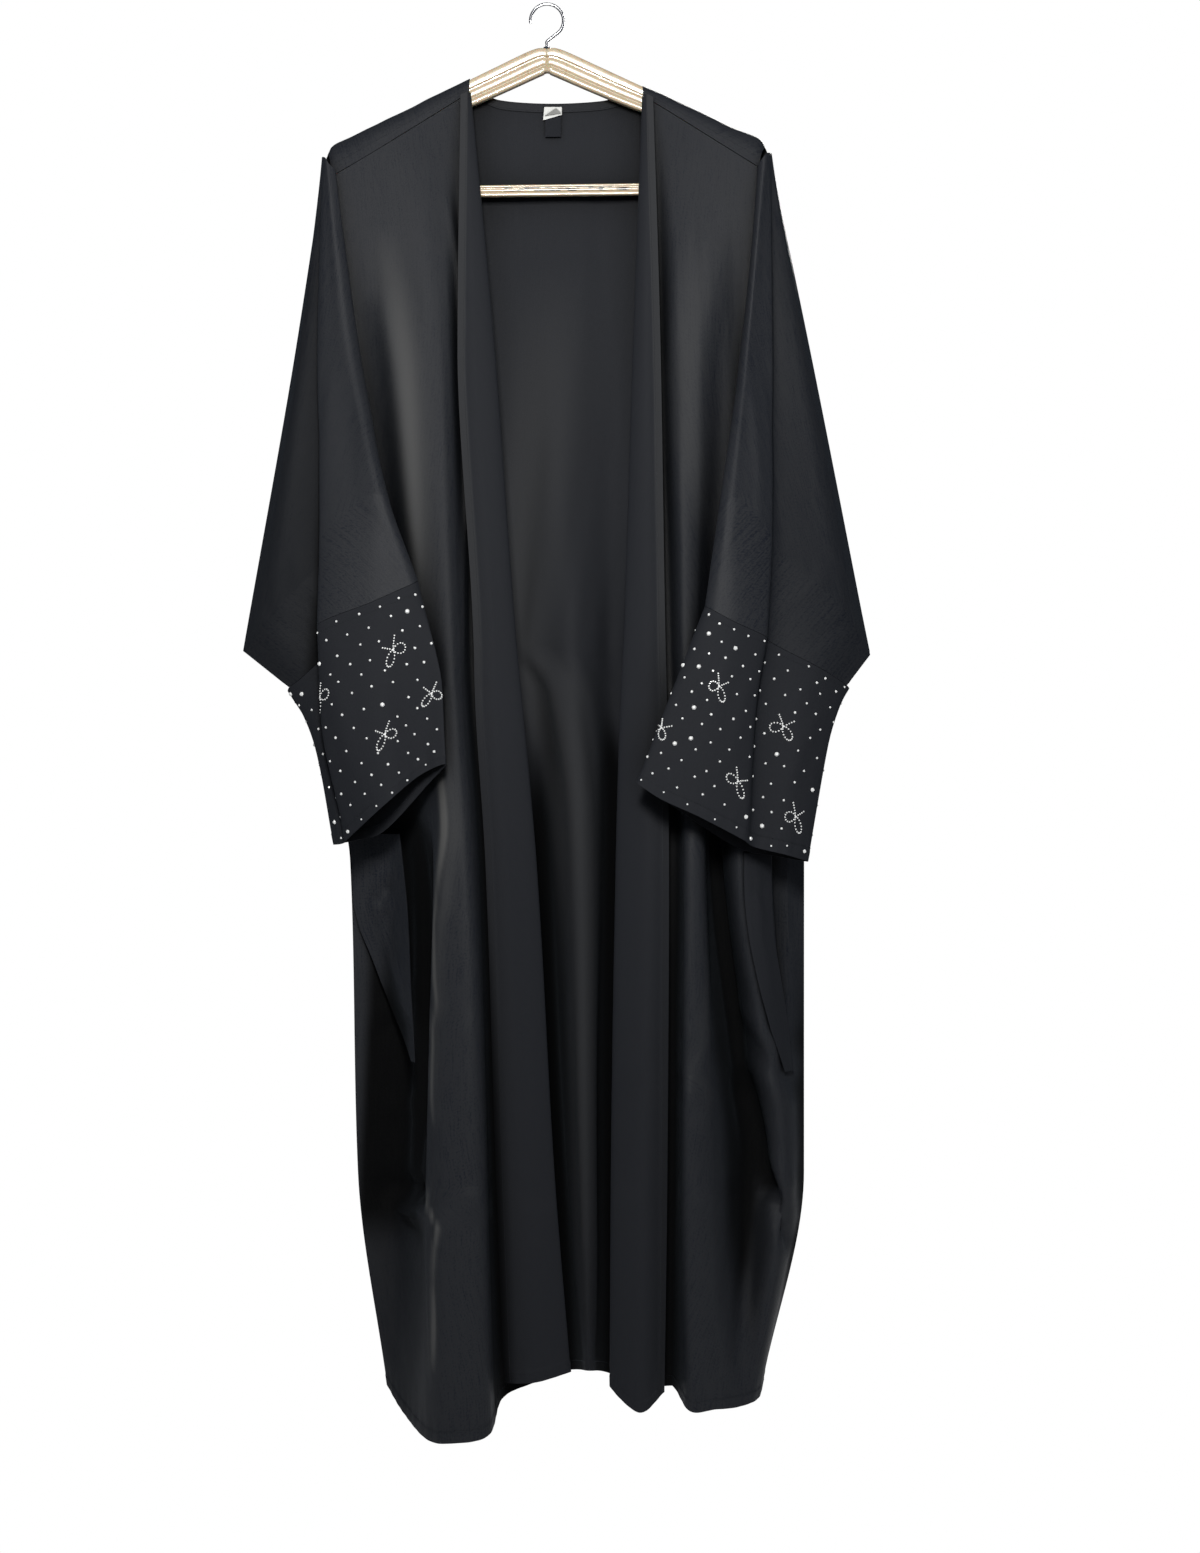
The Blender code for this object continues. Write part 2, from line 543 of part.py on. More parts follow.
def hook(metal):
    """A wire hook: the inside top of its eye is at the origin, its collar stands on the crown."""
    centre = -HOOK_RADIUS + HOOK_WIRE
    points = []
    for i in range(HOOK_ARC_STEPS + 1):
        turn = HOOK_TIP - (HOOK_TIP - HOOK_END) * i / HOOK_ARC_STEPS
        points.append((HOOK_RADIUS * math.sin(turn), centre + HOOK_RADIUS * math.cos(turn)))
    points += [(x * HOOK_RADIUS, centre - drop * HOOK_RADIUS) for x, drop in HOOK_NECK]
    points.append((0, HOOK_FOOT))
    loops = []
    for i, (x, z) in enumerate(points):
        before, after = points[max(i - 1, 0)], points[min(i + 1, len(points) - 1)]
        along = (after[0] - before[0], after[1] - before[1])
        loops.append(section(x, z, along, 2 * HOOK_WIRE, 2 * HOOK_WIRE, HOOK_SIDES))
    finish("hook", loft(loops, closed=False), metal)

    mesh = bmesh.new()
    bmesh.ops.create_cone(mesh, cap_ends=True, segments=ROUND_SIDES, radius1=COLLAR_FOOT * MM,
                          radius2=COLLAR_HEAD * MM, depth=COLLAR_HEIGHT * MM)
    foot = Matrix.Translation((0, 0, (HOOK_FOOT - SEAM - COLLAR_HEIGHT / 2) * MM))
    bmesh.ops.transform(mesh, matrix=foot, verts=mesh.verts)
    finish("hook_collar", mesh, metal)


def main():
    for old in list(bpy.data.objects):
        bpy.data.objects.remove(old, do_unlink=True)
    cloth, label, plastic, metal = (finish_material(*row) for row in MATERIALS)

    right_folds, right = front("front_right", FRONT_RIGHT, cloth)
    left_folds, left = front("front_left", FRONT_LEFT, cloth)
    back_panel, low, high = back(cloth, right_folds, left_folds)
    neck_band(back_panel, low, high, cloth)
    sleeve_and_cuff("right", SLEEVE_RIGHT, CUFF_RIGHT, right, cloth)
    sleeve_and_cuff("left", SLEEVE_LEFT, CUFF_LEFT, left, cloth)
    pocket("pocket_right", right, POCKET_RIGHT, cloth)
    pocket("pocket_left", left, POCKET_LEFT, cloth)

    tag_y = NECK_DEPTH - LAYER - CLOTH / 2 - SEAM - LABEL_THICK / 2
    flat_tag("label", LABEL_CENTRE, LABEL_TOP, LABEL, tag_y, LABEL_THICK, label)
    flat_tag("size_tab", LABEL_CENTRE, LABEL_TOP - LABEL[1] - SEAM, SIZE_TAB, tag_y, LABEL_THICK, cloth)
    hanger(plastic)
    hook(metal)


main()
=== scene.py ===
"""Open abaya cloak on its hanger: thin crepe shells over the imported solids, with the folds, hems,
stitching, stones and hanger finish that the solids leave out. Metres; the tables are millimetres.
"""
import math
import random

import bmesh
import bpy
import numpy as np
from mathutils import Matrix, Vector


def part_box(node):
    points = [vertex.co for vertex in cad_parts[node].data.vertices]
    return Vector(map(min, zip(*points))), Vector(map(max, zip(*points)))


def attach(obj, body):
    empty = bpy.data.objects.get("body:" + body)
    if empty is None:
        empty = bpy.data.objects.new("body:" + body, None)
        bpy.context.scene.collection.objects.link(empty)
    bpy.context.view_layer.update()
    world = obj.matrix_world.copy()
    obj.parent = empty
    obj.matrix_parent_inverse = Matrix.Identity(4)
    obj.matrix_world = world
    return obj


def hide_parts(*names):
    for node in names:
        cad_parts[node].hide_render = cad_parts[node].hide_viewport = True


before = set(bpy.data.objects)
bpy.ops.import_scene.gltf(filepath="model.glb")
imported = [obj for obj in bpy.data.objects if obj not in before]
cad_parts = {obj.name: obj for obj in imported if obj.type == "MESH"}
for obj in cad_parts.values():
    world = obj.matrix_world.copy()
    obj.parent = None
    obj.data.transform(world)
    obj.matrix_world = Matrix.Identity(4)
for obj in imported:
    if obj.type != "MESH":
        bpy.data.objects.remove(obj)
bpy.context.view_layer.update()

MM = 0.001

# ---- the cloth's sizes -------------------------------------------------------------------------
CLOTH = 0.7               # one layer, as drawn
HEM = 1.5                 # a turned hem, as drawn
HEM_DEPTH = 11            # of the turned hem at the foot
FACING_DEPTH = 8          # of the turned edge of the lapels
TURN = 1.2                # over which a hem's edge steps down to one layer
ROW_LENGTH = 9            # height of a cell
HEM_ROWS = (34, 24, 16, 12.2, 11, 9.5, 7, 4.5, 2.6, 1.2, 0.5)    # extra rows, from the hem up
STITCHED_ROW = 9.5        # the one of them that the hem is sewn along
FOLD_STEPS = 14           # cells between two folds of a front
BACK_STEPS = 12
SLEEVE_STEPS = 11
SEAM_CLOSE = 1.22         # how far each side seam's two edges draw together
SEAM_SPAN = 60            # the height over which they do, round the underarm
SHARP_EDGE = math.radians(50)

# ---- marks on the cloth, with painted highlights and painted shade -----------------------------
STRIP_SHARE = 0.27        # how much of its lighter colour the lapels' turned strip shows
STRIP_FADE = (-600, 200, 0.8)    # z below which it fades toward the cloth's own colour, span and share
SLEEVE_SHADE = {"right": (28, 0.34), "left": (28, 0.16)}   # painted shade on the sleeves' outer columns: last shaded column, and share
SHADE_TOP = (-175, 120)   # z below which that shade sets in, and its span
GROOVE_SLOPE = 0.75       # rise of the cloth beside a point from which it counts as sunk
GROOVE = (6, 15)          # from this depth a groove's painted shade sets in, and over how much more it turns black
GROOVE_BEHIND = 0.5       # share of it on the side that faces back
GROOVE_SIDE = (17, 133, 12, 0.7)      # middle x, reach, span and share of the painted shade's fading at the sides
GROOVE_FOOT = (-1235, -1285, 50)      # where it starts on the right and on the left, and its span

# ---- tables of the folds -----------------------------------------------------------------------
HEIGHTS = (0, 360, 665, 706, 880, 1200, 1410)   # nominal drop of the body's named levels
SIDE_CORNERS = (2, 3)     # levels at which the side folds turn sharply: elbow and underarm

# Columns of the body's tables: fold, its x and its y at shoulder, chest, elbow, underarm, hip, knee
# and hem, then z of its upper end and of the hem.
FRONT_RIGHT = (
    ("side", (-219, -213, -246, -257, -202, -194, -163),
     (-10, -16, -22, -20, -6, -6, -16), -178.2, -1416),
    ("recess", (-202, -178, -155, -154, -152, -151, -144),
     (-10, -19, -25, -23, 0, 0, -42), -168.4, -1436),
    ("crest", (-166, -144, -122, -120, -114, -117, -117),
     (-10, -28, -38, -40, -54, -70, -82), -146.8, -1451),
    ("ridge", (-135, -116, -101, -99, -94, -96, -91),
     (-10, -35, -48, -50, -70, -88, -96), -127.7, -1451),
    ("slope", (-109, -100, -88, -86, -74, -62, -56),
     (-10, -31, -42, -44, -63, -80, -86), -111.8, -1446),
    ("gutter", (-92, -87, -78, -76, -65, -55, -45),
     (-10, -18, -25, -27, -31, -37, -42), -101.2, -1423),
    ("under", (-85, -72, -55, -53, -41, -24, -16),
     (-10, -17, -24, -26, -29, -34, -38), -96.9, -1409),
    ("roll", (-78, -53, -30, -26, -10, 9, 25),
     (-13, -25, -33, -35, -38, -43, -47), -94.5, -1394),
    ("lapel", (-81, -71, -51, -49, -37, -22, -10),
     (-17, -33, -41, -43, -47, -53, -57), -94.5, -1402),
    ("edge", (-88, -90, -73, -72, -61, -50, -42),
     (-18, -31, -38, -40, -45, -52, -56), -97.5, -1403),
)
FRONT_LEFT = (
    ("side", (216, 210, 280, 301, 264, 264, 221),
     (-10, -16, -22, -20, -8, -6, -16), -169, -1411),
    ("cowl", (198, 192, 199, 202, 198, 240, 214),
     (-10, -20, -32, -34, -56, -45, -42), -157.7, -1422),
    ("recess", (173, 173, 168, 168, 169, 203, 193),
     (-10, -26, -27, -26, -16, -12, -62), -142.2, -1425),
    ("crest", (147, 154, 153, 156, 157, 166, 169),
     (-10, -34, -40, -42, -55, -64, -74), -126, -1424),
    ("slope", (124, 136, 138, 139, 141, 140, 144),
     (-10, -32, -40, -42, -56, -70, -76), -111.8, -1425),
    ("gutter", (111, 118, 126, 127, 132, 130, 126),
     (-10, -18, -26, -28, -33, -36, -40), -104, -1409),
    ("under", (105, 104, 101, 100, 102, 100, 97),
     (-10, -17, -24, -26, -31, -36, -44), -100.4, -1423),
    ("roll", (98, 88, 78, 76, 71, 66, 65),
     (-13, -25, -33, -35, -40, -48, -54), -98, -1406),
    ("lapel", (103, 101, 100, 100, 100, 96, 94),
     (-17, -33, -41, -43, -52, -62, -68), -97, -1429),
    ("edge", (109, 116, 121, 122, 124, 122, 119),
     (-18, -31, -38, -40, -48, -54, -58), -100, -1411),
)
BACK = (
    ("side_right", (-228, -259, -312, -259, -202, -194, -163),
     (6, 5, -3, -17, -3, -2, -12), -156, -1416),
    ("outer_right", (-188, -220, -257, -239, -194, -178, -148),
     (9, 16, 20, 18, 27, 34, 28), -142, -1419),
    ("valley_right", (-152, -169, -191, -188, -158, -144, -122),
     (9, 20, 30, 34, 48, 52, 50), -124, -1428),
    ("ridge_right", (-116, -122, -132, -131, -116, -104, -89),
     (9, 16, 20, 22, 25, 28, 28), -106, -1421),
    ("neck_right", (-79, -78, -76, -74, -64, -51, -43),
     (10, 20, 32, 36, 47, 56, 58), -84, -1427),
    ("inner_right", (-49, -37, -19, -15, -3, 12, 23),
     (12, 22, 34, 38, 50, 56, 58), -94, -1421),
    ("centre", (3, 9, 26, 28, 33, 38, 43),
     (14, 15, 10, 8, 3, 0, 0), -97, -1406),
    ("inner_left", (55, 68, 67, 67, 64, 61, 61),
     (12, 22, 34, 38, 48, 54, 56), -95, -1423),
    ("neck_left", (98, 101, 96, 97, 101, 102, 102),
     (10, 20, 28, 32, 44, 50, 52), -88, -1436),
    ("ridge_left", (129, 138, 138, 140, 147, 146, 143),
     (9, 14, 18, 20, 23, 26, 26), -106, -1428),
    ("valley_left", (158, 174, 185, 189, 187, 183, 179),
     (9, 20, 32, 36, 48, 52, 50), -121, -1435),
    ("outer_left", (188, 226, 263, 256, 234, 226, 206),
     (9, 16, 20, 18, 31, 36, 30), -136.5, -1425),
    ("side_left", (228, 271, 332, 304, 264, 264, 221),
     (6, 5, -3, -17, -3, -2, -12), -152, -1416),
)
NECK = ("neck_right", "neck_left")      # the back's folds that bound its neckline
UNDERARM = 706                          # below it the fronts and the back share their side seams
SIDE_SEAM_DEPTH = 3.2                   # the back's edge lies this far behind the front's
BACK_NODES = ("back_shoulder_right", "back_shoulder_left", "back_sleeve_right", "back_wing_right",
              "back_right", "back_left", "back_wing_left", "back_sleeve_left", "back_skirt_right",
              "back_skirt_left")

# The back comes over the shoulder to the front. Columns of the arch: depth, share of the rise, share
# of the way out to the back's own folds. Columns of the shoulders: x, z of the highest line and of
# the seam.
SHOULDER_ARCH = ((-10, 0, 0), (-8.5, 0.66, 0.3), (-3, 1, 0.6), (3.5, 1, 0.8))
SHOULDER_RIGHT = (
    (-220, -147.5, -178), (-186, -129.8, -158.3), (-152, -112.6, -137.4), (-116, -94.6, -115.2),
    (-80, -76.4, -93),
)
SHOULDER_LEFT = (
    (99, -83.9, -96), (129, -97.6, -114), (158, -111.5, -132), (188, -126, -150.7),
    (217, -140.8, -168.7),
)
NECK_ROW = 0.8            # the grid's spare rows above the neckline, which hold no cloth
ARCH_STEPS = 4            # cells between two lines of the shoulder's arch
TIP_REACH = 10            # over which the shoulder rounds down to its tip
TIP_DROP = 7

# The sleeve's front. Columns: fold, then its x, y, z at the shoulder tip, chest, elbow and cuff.
SLEEVE_HEIGHTS = (0, 180, 390, 480)
SLEEVE_CORNERS = (2,)                   # the top edge turns sharply at the elbow
ARMHOLE_LIFT = 1.6                      # the sleeve's edge lies this far in front of the front's
SLEEVE_RIGHT = (
    ("top_edge", (-229, 5, -156), (-259, 3, -354), (-312, -5, -665), (-262, -26, -703)),
    ("outer", (-231, -3, -157.5), (-249, -14, -352), (-276, -28, -625), (-246, -35, -692)),
    ("pleat_under", (-230, -8.5, -158.5), (-228, -21, -347), (-212, -38, -562), (-209, -45, -656)),
    ("pleat", (-229, -13, -159.5), (-232, -28, -345), (-227, -53, -556), (-228, -62, -642)),
    ("face", (-226, -17.6, -162), (-212, -36, -336), (-184, -62, -517), (-175, -74, -621)),
    ("face_inner", (-222.5, -18.6, -168), (-201, -37, -336), (-166, -64, -512), (-137, -72, -604)),
    ("inner_edge", (-216.5, -17, -174), (-193, -31, -340), (-158, -56, -516), (-128, -62, -599)),
    ("under", (-216.5, -14.4, -178), (-199, -26, -341), (-168, -46, -525), (-143, -52, -611)),
    ("hidden", (-217, -13.4, -180), (-206, -21, -343), (-203, -33, -575), (-200, -34, -652)),
    ("armhole", (-219, -12.8, -182), (-213, -18.6, -352), (-236, -26.6, -628), (-254, -23, -703)),
)
SLEEVE_LEFT = (
    ("top_edge", (229, 5, -152), (271, 3, -354), (332, -5, -669), (306, -26, -701)),
    ("outer", (231, -3, -153.5), (259, -14, -352), (298, -30, -620), (276, -44, -684)),
    ("pleat_under", (229.5, -8.5, -154.5), (231, -21, -347), (236, -43, -568), (228, -53, -660)),
    ("pleat", (228.5, -13, -155.5), (229, -28, -345), (225, -54, -550), (219, -64, -653)),
    ("face", (225, -17.6, -157), (211, -36, -336), (197, -62, -517), (189, -74, -640)),
    ("face_inner", (221, -18.6, -162), (205, -37, -336), (184, -64, -517), (169, -73, -629)),
    ("inner_edge", (217, -16.6, -167.5), (201, -31, -340), (176, -56, -516), (160, -63, -624)),
    ("under", (216, -14.2, -171), (206, -26, -341), (187, -46, -525), (176, -52, -634)),
    ("hidden", (216, -13.4, -173), (209, -21, -343), (219, -33, -575), (230, -36, -664)),
    ("armhole", (216, -12.8, -174.5), (210.5, -18.6, -352), (262, -26.6, -622), (296, -23, -701)),
)

# The cuff goes on from the sleeve's last row. A row for each of the sleeve's folds: its x, y, z half
# way down and at the hem.
CUFF_HEIGHTS = (0, 90, 190)
CUFF_GAP = 0.4            # between the sleeve and the cuff
CUFF_RIGHT = (
    ((-235, -39, -757), (-212, -51, -862)),
    ((-227, -49, -755), (-207, -60, -862)),
    ((-214, -57, -742), (-201, -66, -860)),
    ((-222, -72, -738), (-194, -77, -854)),
    ((-171, -87, -718), (-158, -93, -822)),
    ((-124, -77, -708), (-126, -80, -794)),
    ((-102, -78, -707), (-99, -82, -782)),
    ((-122, -64, -718), (-117, -68, -802)),
    ((-182, -48, -757), (-161, -57, -848)),
    ((-222, -34, -757), (-190, -49, -858)),
)
CUFF_LEFT = (
    ((289, -44, -745), (262, -64, -879)),
    ((257, -61, -739), (240, -77, -872)),
    ((214, -67, -733), (208, -80, -864)),
    ((206, -78, -726), (195, -89, -856)),
    ((169, -88, -715), (153, -95, -834)),
    ((144, -83, -708), (114, -91, -816)),
    ((126, -75, -710), (91, -83, -800)),
    ((147, -62, -717), (119, -70, -818)),
    ((218, -46, -742), (190, -61, -864)),
    ((264, -38, -742), (232, -57, -874)),
)

# Pocket bags. Columns: z, the outer and inner edge as shares of the way from the side seam to the
# next fold, then how far the outer and the inner edge stand off the panel.
POCKET_CELLS = 26
POCKET_RIGHT = (
    (-850, 0.02, 1.05, 2.3, 20), (-925, 0.02, 1.26, 2.3, 24), (-952, 0.14, 1.31, 4, 25),
    (-1005, 0.56, 1.38, 10, 25), (-1048, 0.98, 1.47, 15, 26), (-1091, 1.49, 1.54, 26, 26),
)
POCKET_LEFT = (
    (-870, 0.54, 0.97, 5, 3), (-915, 0.55, 1, 6, 4), (-960, 0.56, 1, 6, 4), (-1010, 0.5, 0.95, 5, 4),
    (-1052, 0.44, 0.86, 3, 4), (-1100, 0.42, 0.62, 2.3, 3),
)

# The band inside the back neckline, the label and the tab that hang from it.
NECK_BAND = 9             # width of the band
BAND_ROWS = 6
BAND_CLOTH = 1.1          # its turned layers
BAND_EDGE = 0.5           # share of them at its two edges
BAND_OUT = 1.15           # how far its middle lies in front of the back's
LABEL = (18, 11)
LABEL_TOP = -101
LABEL_CURL = 0.5          # how far its foot curls forward, and how much it slants
LABEL_SLANT = 0.5
LABEL_TURN = ((-8.6, 1.1, -9.4), (8.4, 1.1, -6.9), (3, 0.8, -1.6))   # turned end's corners: x, y, z
LABEL_TURN_CELLS = 6
LABEL_APEX = 0.02         # width of the turned end's tip, as a share of its foot
LABEL_TURN_CLOTH = 0.3
SIZE_TAB = (16, 21)
SIZE_TAB_OVERLAP = 1      # with the label above it
SIZE_TAB_CURL = 0.7
TAG_CLOTH = 0.35
TAG_CELLS = (8, 10)       # down and across
TAG_SLANT = 2.4           # how far a slanting tape's foot draws in on one side
TAG_TWIST = 0.4           # share of a tape's curl at its straight side

# ---- creases -----------------------------------------------------------------------------------
# Columns: fold and z of one end, fold and z of the other, width, height (troughs are negative).
# A fold is counted along its table, with a share of the way to the next.
FRONT_RIGHT_CREASES = (
    (2.6, -325, 3.1, -334, 4, 0.7), (2.75, -338, 3.05, -331, 4, -0.5), (2.4, -344, 2.95, -350, 5, 0.5),
    (1.5, -290, 1.75, -690, 15, 9), (4.05, -190, 4.1, -700, 6, 3), (2.2, -300, 2.3, -690, 10, 2),
    (2.2, -700, 2.15, -1010, 9, 1.4), (3.3, -820, 3.1, -1180, 14, -1.2), (4.3, -760, 4.4, -1240, 16, 1),
    (0.25, -1045, 1.35, -1000, 10, 2.6), (0.3, -1068, 1.2, -1040, 9, -2),
    (0.2, -1246, 2.05, -1230, 7, 8), (0.3, -1216, 1.95, -1206, 10, -9),
    (0.5, -1262, 1.8, -1275, 14, 2.4), (1.5, -835, 1.5, -1235, 12, -17),
    (1.8, -835, 1.8, -1235, 9, -15), (1.15, -850, 1.15, -1235, 12, -8),
    (0.4, -1135, 1.5, -1128, 9, 2.2), (0.2, -940, 1.3, -905, 12, 2.2), (0.3, -965, 1.2, -935, 9, -1.8),
    (2, -850, 2, -1240, 4, 2.2), (2.05, -1215, 2.2, -1400, 5, 2.6), (2.35, -1190, 2.4, -1370, 5, -1.6),
    (2.75, -1225, 2.6, -1400, 8, 1.2), (0.8, -1300, 1.2, -1400, 12, 1.4),
    (5.2, -900, 5.4, -1300, 8, 0.8), (6.4, -560, 6.5, -980, 10, 0.8),
)
FRONT_LEFT_CREASES = (
    (4.1, -906, 4.6, -915, 5, 1), (4.2, -915, 4.55, -922, 4, -0.9), (4.15, -924, 4.5, -931, 5, 0.8),
    (3.1, -210, 3.4, -600, 14, 1.2), (2.5, -220, 2.8, -560, 12, -1.1), (1.7, -260, 2.1, -560, 14, 1),
    (3.4, -760, 3.3, -1130, 13, 1.2), (2.7, -800, 2.8, -1200, 11, -1.2), (4.4, -780, 4.5, -1280, 14, 1),
    (2, -830, 1.9, -1140, 8, -10), (1.95, -1090, 1.5, -1225, 12, -16), (1.6, -1190, 0.45, -1272, 9, -9),
    (0.46, -830, 0.46, -1035, 4.5, -13), (0.3, -850, 0.33, -1030, 4, 2),
    (0.4, -1085, 1.8, -1010, 8, 2.2), (0.3, -1110, 1.9, -1045, 9, -2.4),
    (0.3, -1140, 1.7, -1085, 10, 2), (0.5, -1215, 1.7, -1160, 12, 2),
    (0.6, -1250, 1.9, -1215, 12, -1.8), (2.3, -1230, 2.5, -1400, 10, 1.4),
    (1.3, -1270, 1.5, -1400, 12, 1.6), (6.3, -500, 6.4, -960, 10, 0.8), (5.3, -900, 5.2, -1300, 9, 0.8),
)
BACK_CREASES = (
    (5.45, -215, 5.55, -1395, 14, -3), (6.5, -215, 6.45, -1395, 14, -3),
    (5.45, -380, 5.55, -1395, 13, -3), (6.5, -380, 6.45, -1395, 13, -3),
    (5.5, -560, 5.55, -1395, 12, -3), (6.45, -560, 6.45, -1395, 12, -3),
    (5.2, -230, 5.4, -760, 16, 1.2), (6.3, -240, 6.2, -900, 18, -1.2), (6.8, -300, 6.9, -1100, 14, 1),
    (5.7, -500, 5.8, -1250, 14, 1), (4.4, -300, 4.5, -1200, 14, 1), (7.5, -260, 7.4, -1150, 14, 1),
    (0.6, -330, 1.1, -620, 16, 1.8), (1.5, -300, 1.9, -900, 18, -1.8), (2.5, -260, 2.7, -1250, 18, 1.6),
    (3.4, -300, 3.5, -1320, 16, -1.4), (8.5, -300, 8.6, -1320, 16, 1.4),
    (9.5, -260, 9.6, -1250, 18, -1.6), (10.5, -280, 10.6, -940, 18, 1.8),
    (11.3, -330, 11, -620, 16, -1.8), (0.2, -700, 1.3, -640, 12, 2.4), (0.3, -726, 1.4, -676, 12, -2.2),
    (11.8, -700, 10.7, -640, 12, 2.4), (11.7, -726, 10.6, -676, 12, -2.2),
    (0.3, -1180, 1.2, -1165, 11, 1.8), (11.7, -1150, 10.8, -1140, 11, 1.8),
    (1.2, -930, 2, -905, 11, 1.4), (10.8, -960, 10, -930, 11, 1.4),
)
SLEEVE_RIGHT_CREASES = (
    (0.9, -300, 1, -600, 12, 1.2), (4.2, -230, 4.5, -520, 10, 1), (3.5, -330, 3.6, -600, 9, -0.9),
    (1.3, -560, 2.2, -610, 8, 1.4), (0.6, -600, 1.5, -655, 8, -1.4), (4.6, -520, 5.3, -560, 6, 0.9),
)
SLEEVE_LEFT_CREASES = (
    (0.9, -300, 1, -600, 12, 1.2), (4.3, -240, 4.6, -560, 10, 1), (3.5, -330, 3.6, -610, 9, -0.9),
    (1.2, -570, 2.1, -618, 8, 1.4), (0.5, -600, 1.4, -662, 8, -1.4), (4.5, -540, 5.2, -585, 6, 0.9),
)
CUFF_CREASES = (
    (0.6, -725, 1.2, -800, 9, 1.2), (3.3, -690, 3.5, -800, 9, 1), (4.3, -650, 4.5, -770, 8, -0.9),
    (7.4, -680, 7.6, -800, 9, 1.2), (8.4, -700, 8.3, -820, 9, -1),
)
POCKET_CREASES = (
    (0.08, -938, 0.9, -916, 4, 4.5), (0.1, -926, 0.9, -902, 4, -4), (0.3, -980, 0.8, -1010, 6, 2.2),
    (0.5, -870, 0.55, -990, 7, 2.4),
)
# Painted highlights, along lines where a pressed fold catches the light: as creases, with a share for
# the height.
LIT_RIGHT = (
    (1.66, -230, 1.9, -720, 15, 0.85), (2.14, -740, 2.24, -925, 4.6, 1.5),
    (2.22, -890, 2.24, -1045, 3.8, 1.4), (2.27, -1010, 2.22, -1140, 3.2, 1.2),
    (2.2, -1200, 2.25, -1300, 3.5, 1.3), (2.25, -1280, 2.3, -1390, 3, 1),
    (2.34, -730, 2.36, -1150, 9, 0.35),
)
LIT_LEFT = (
    (2.5, -240, 2.5, -560, 16, 0.26), (3.45, -760, 3.45, -1150, 9, 0.15),
    (0.95, -850, 0.9, -1010, 4, 0.18),
)
LIT_BACK = (
    (6, -560, 6, -1410, 30, 0.24), (5.9, -260, 6, -1050, 42, 0.3),
)

# Long soft waves over every panel: wave length, height, and turn for each millimetre of drop.
WAVES = ((71, 0.3, 0.0007), (43, 0.16, -0.0011), (27, 0.07, 0.0019))
WAVE_BEND = (0.9, 210)    # how far and how fast they sway on the way down
WAVE_FADE = 45            # from a seam to the waves' full height
SIDE_FREE = 6             # how much nearer than that a panel's side edges lie
PUCKER = (13, 0.28)       # length and height of the small waves along a stitched hem
PUCKER_BEND = (2, 37)     # how far and how fast their length varies
PUCKER_REACH = 26

# ---- the hanger and its hook -------------------------------------------------------------------
# Half of the closed frame, from the crown down to the bar. Columns: x, z, height, depth.
HANGER_HALF = (
    (0, -57.9, 22.5, 11), (9.5, -58.8, 26.8, 10.5), (45, -74.8, 26.5, 10), (78, -89.7, 25, 10),
    (120, -108, 22, 10), (165, -128.6, 19, 10), (196, -143.2, 17, 10), (211, -156.5, 15, 10),
    (211, -174, 13, 9), (197, -186, 11.5, 8), (160, -190.6, 11.5, 7), (80, -190.6, 11.5, 7),
)
HANGER_TILT = 0.0125      # rise of the frame toward the wearer's left
HANGER_STEPS = 8
# Its section, from the outer edge to the inner one: share of half the height, share of half the
# depth. The wide band is the arm's web, with a rib below it.
HANGER_SECTION = (
    (1, 0.5), (0.97, 0.82), (0.9, 0.97), (0.8, 1), (0.42, 1), (0.35, 0.94), (0.31, 0.6), (0.22, 0.56),
    (0.18, 0.86), (0.1, 0.92), (-0.3, 0.92), (-0.36, 0.84), (-0.41, 0.6), (-0.47, 0.6), (-0.53, 0.86),
    (-0.62, 0.96), (-0.86, 0.98), (-0.96, 0.84), (-1, 0.5),
)
MITRE = 0.8               # depth left at the crown's mitred joint
RING_MARK = (-0.064, 0.0205, 0.00035)     # centre's height, radius and width of the mould's ring
BAR_REFLECTION_BAND = (-0.1896, 0.0021, -0.045)      # height, half width and start of the painted dark reflections on the bar
HOOK_WIRE = 1.6           # radius
HOOK_RADIUS = 17
HOOK_TURNS = (math.radians(-100), math.radians(140))     # from the open end to the neck
HOOK_NECK = ((0.26, 1.06), (0, 1.28))    # bend to the stem: x and drop, in radii from the centre
HOOK_STEM = 3             # the straight end above the collar
HOOK_TIP = 0.75           # share of the wire's width at its open end
HOOK_STEPS = 40
HOOK_SIDES = 14
BEND_STEPS = 5

# ---- stones on the cuffs -----------------------------------------------------------------------
STONE_PITCH = 22          # between stones across
STONE_ROWS = 14.5         # between their staggered rows
STONE_SHIFT = 2.6         # how far a stone may stray
STONE_SIZES = (2.5, 2.9, 4.6)     # widths, with their shares below
STONE_SHARES = (0.66, 0.24, 0.10)
STONE_LIFT = 0.02         # gap under a stone
STONE_MARGIN = 7          # from the cuff's edges
STONE_NEAREST = 0.7       # share of the margin that a strayed stone keeps
BEAD = 1.75               # stones of the bows
KNOT = 1.15               # width of a bow's middle stone, in beads
BOW_CLEAR = 17            # no loose stone nearer to a bow's middle
# A bow. Columns: turn from the cuff's way round toward the hem in degrees, length, half width (none
# for a tail), stones.
BOW = ((8, 12.5, 5.2, 13), (116, 15.5, 4.2, 15), (-78, 11.5, 0, 5), (-158, 10, 0, 4))
TAIL_START = 0.3          # of a tail's first stone, in stones
TAIL_BEND = (0.05, 1.3)   # how far a tail bends, and the power of its curve
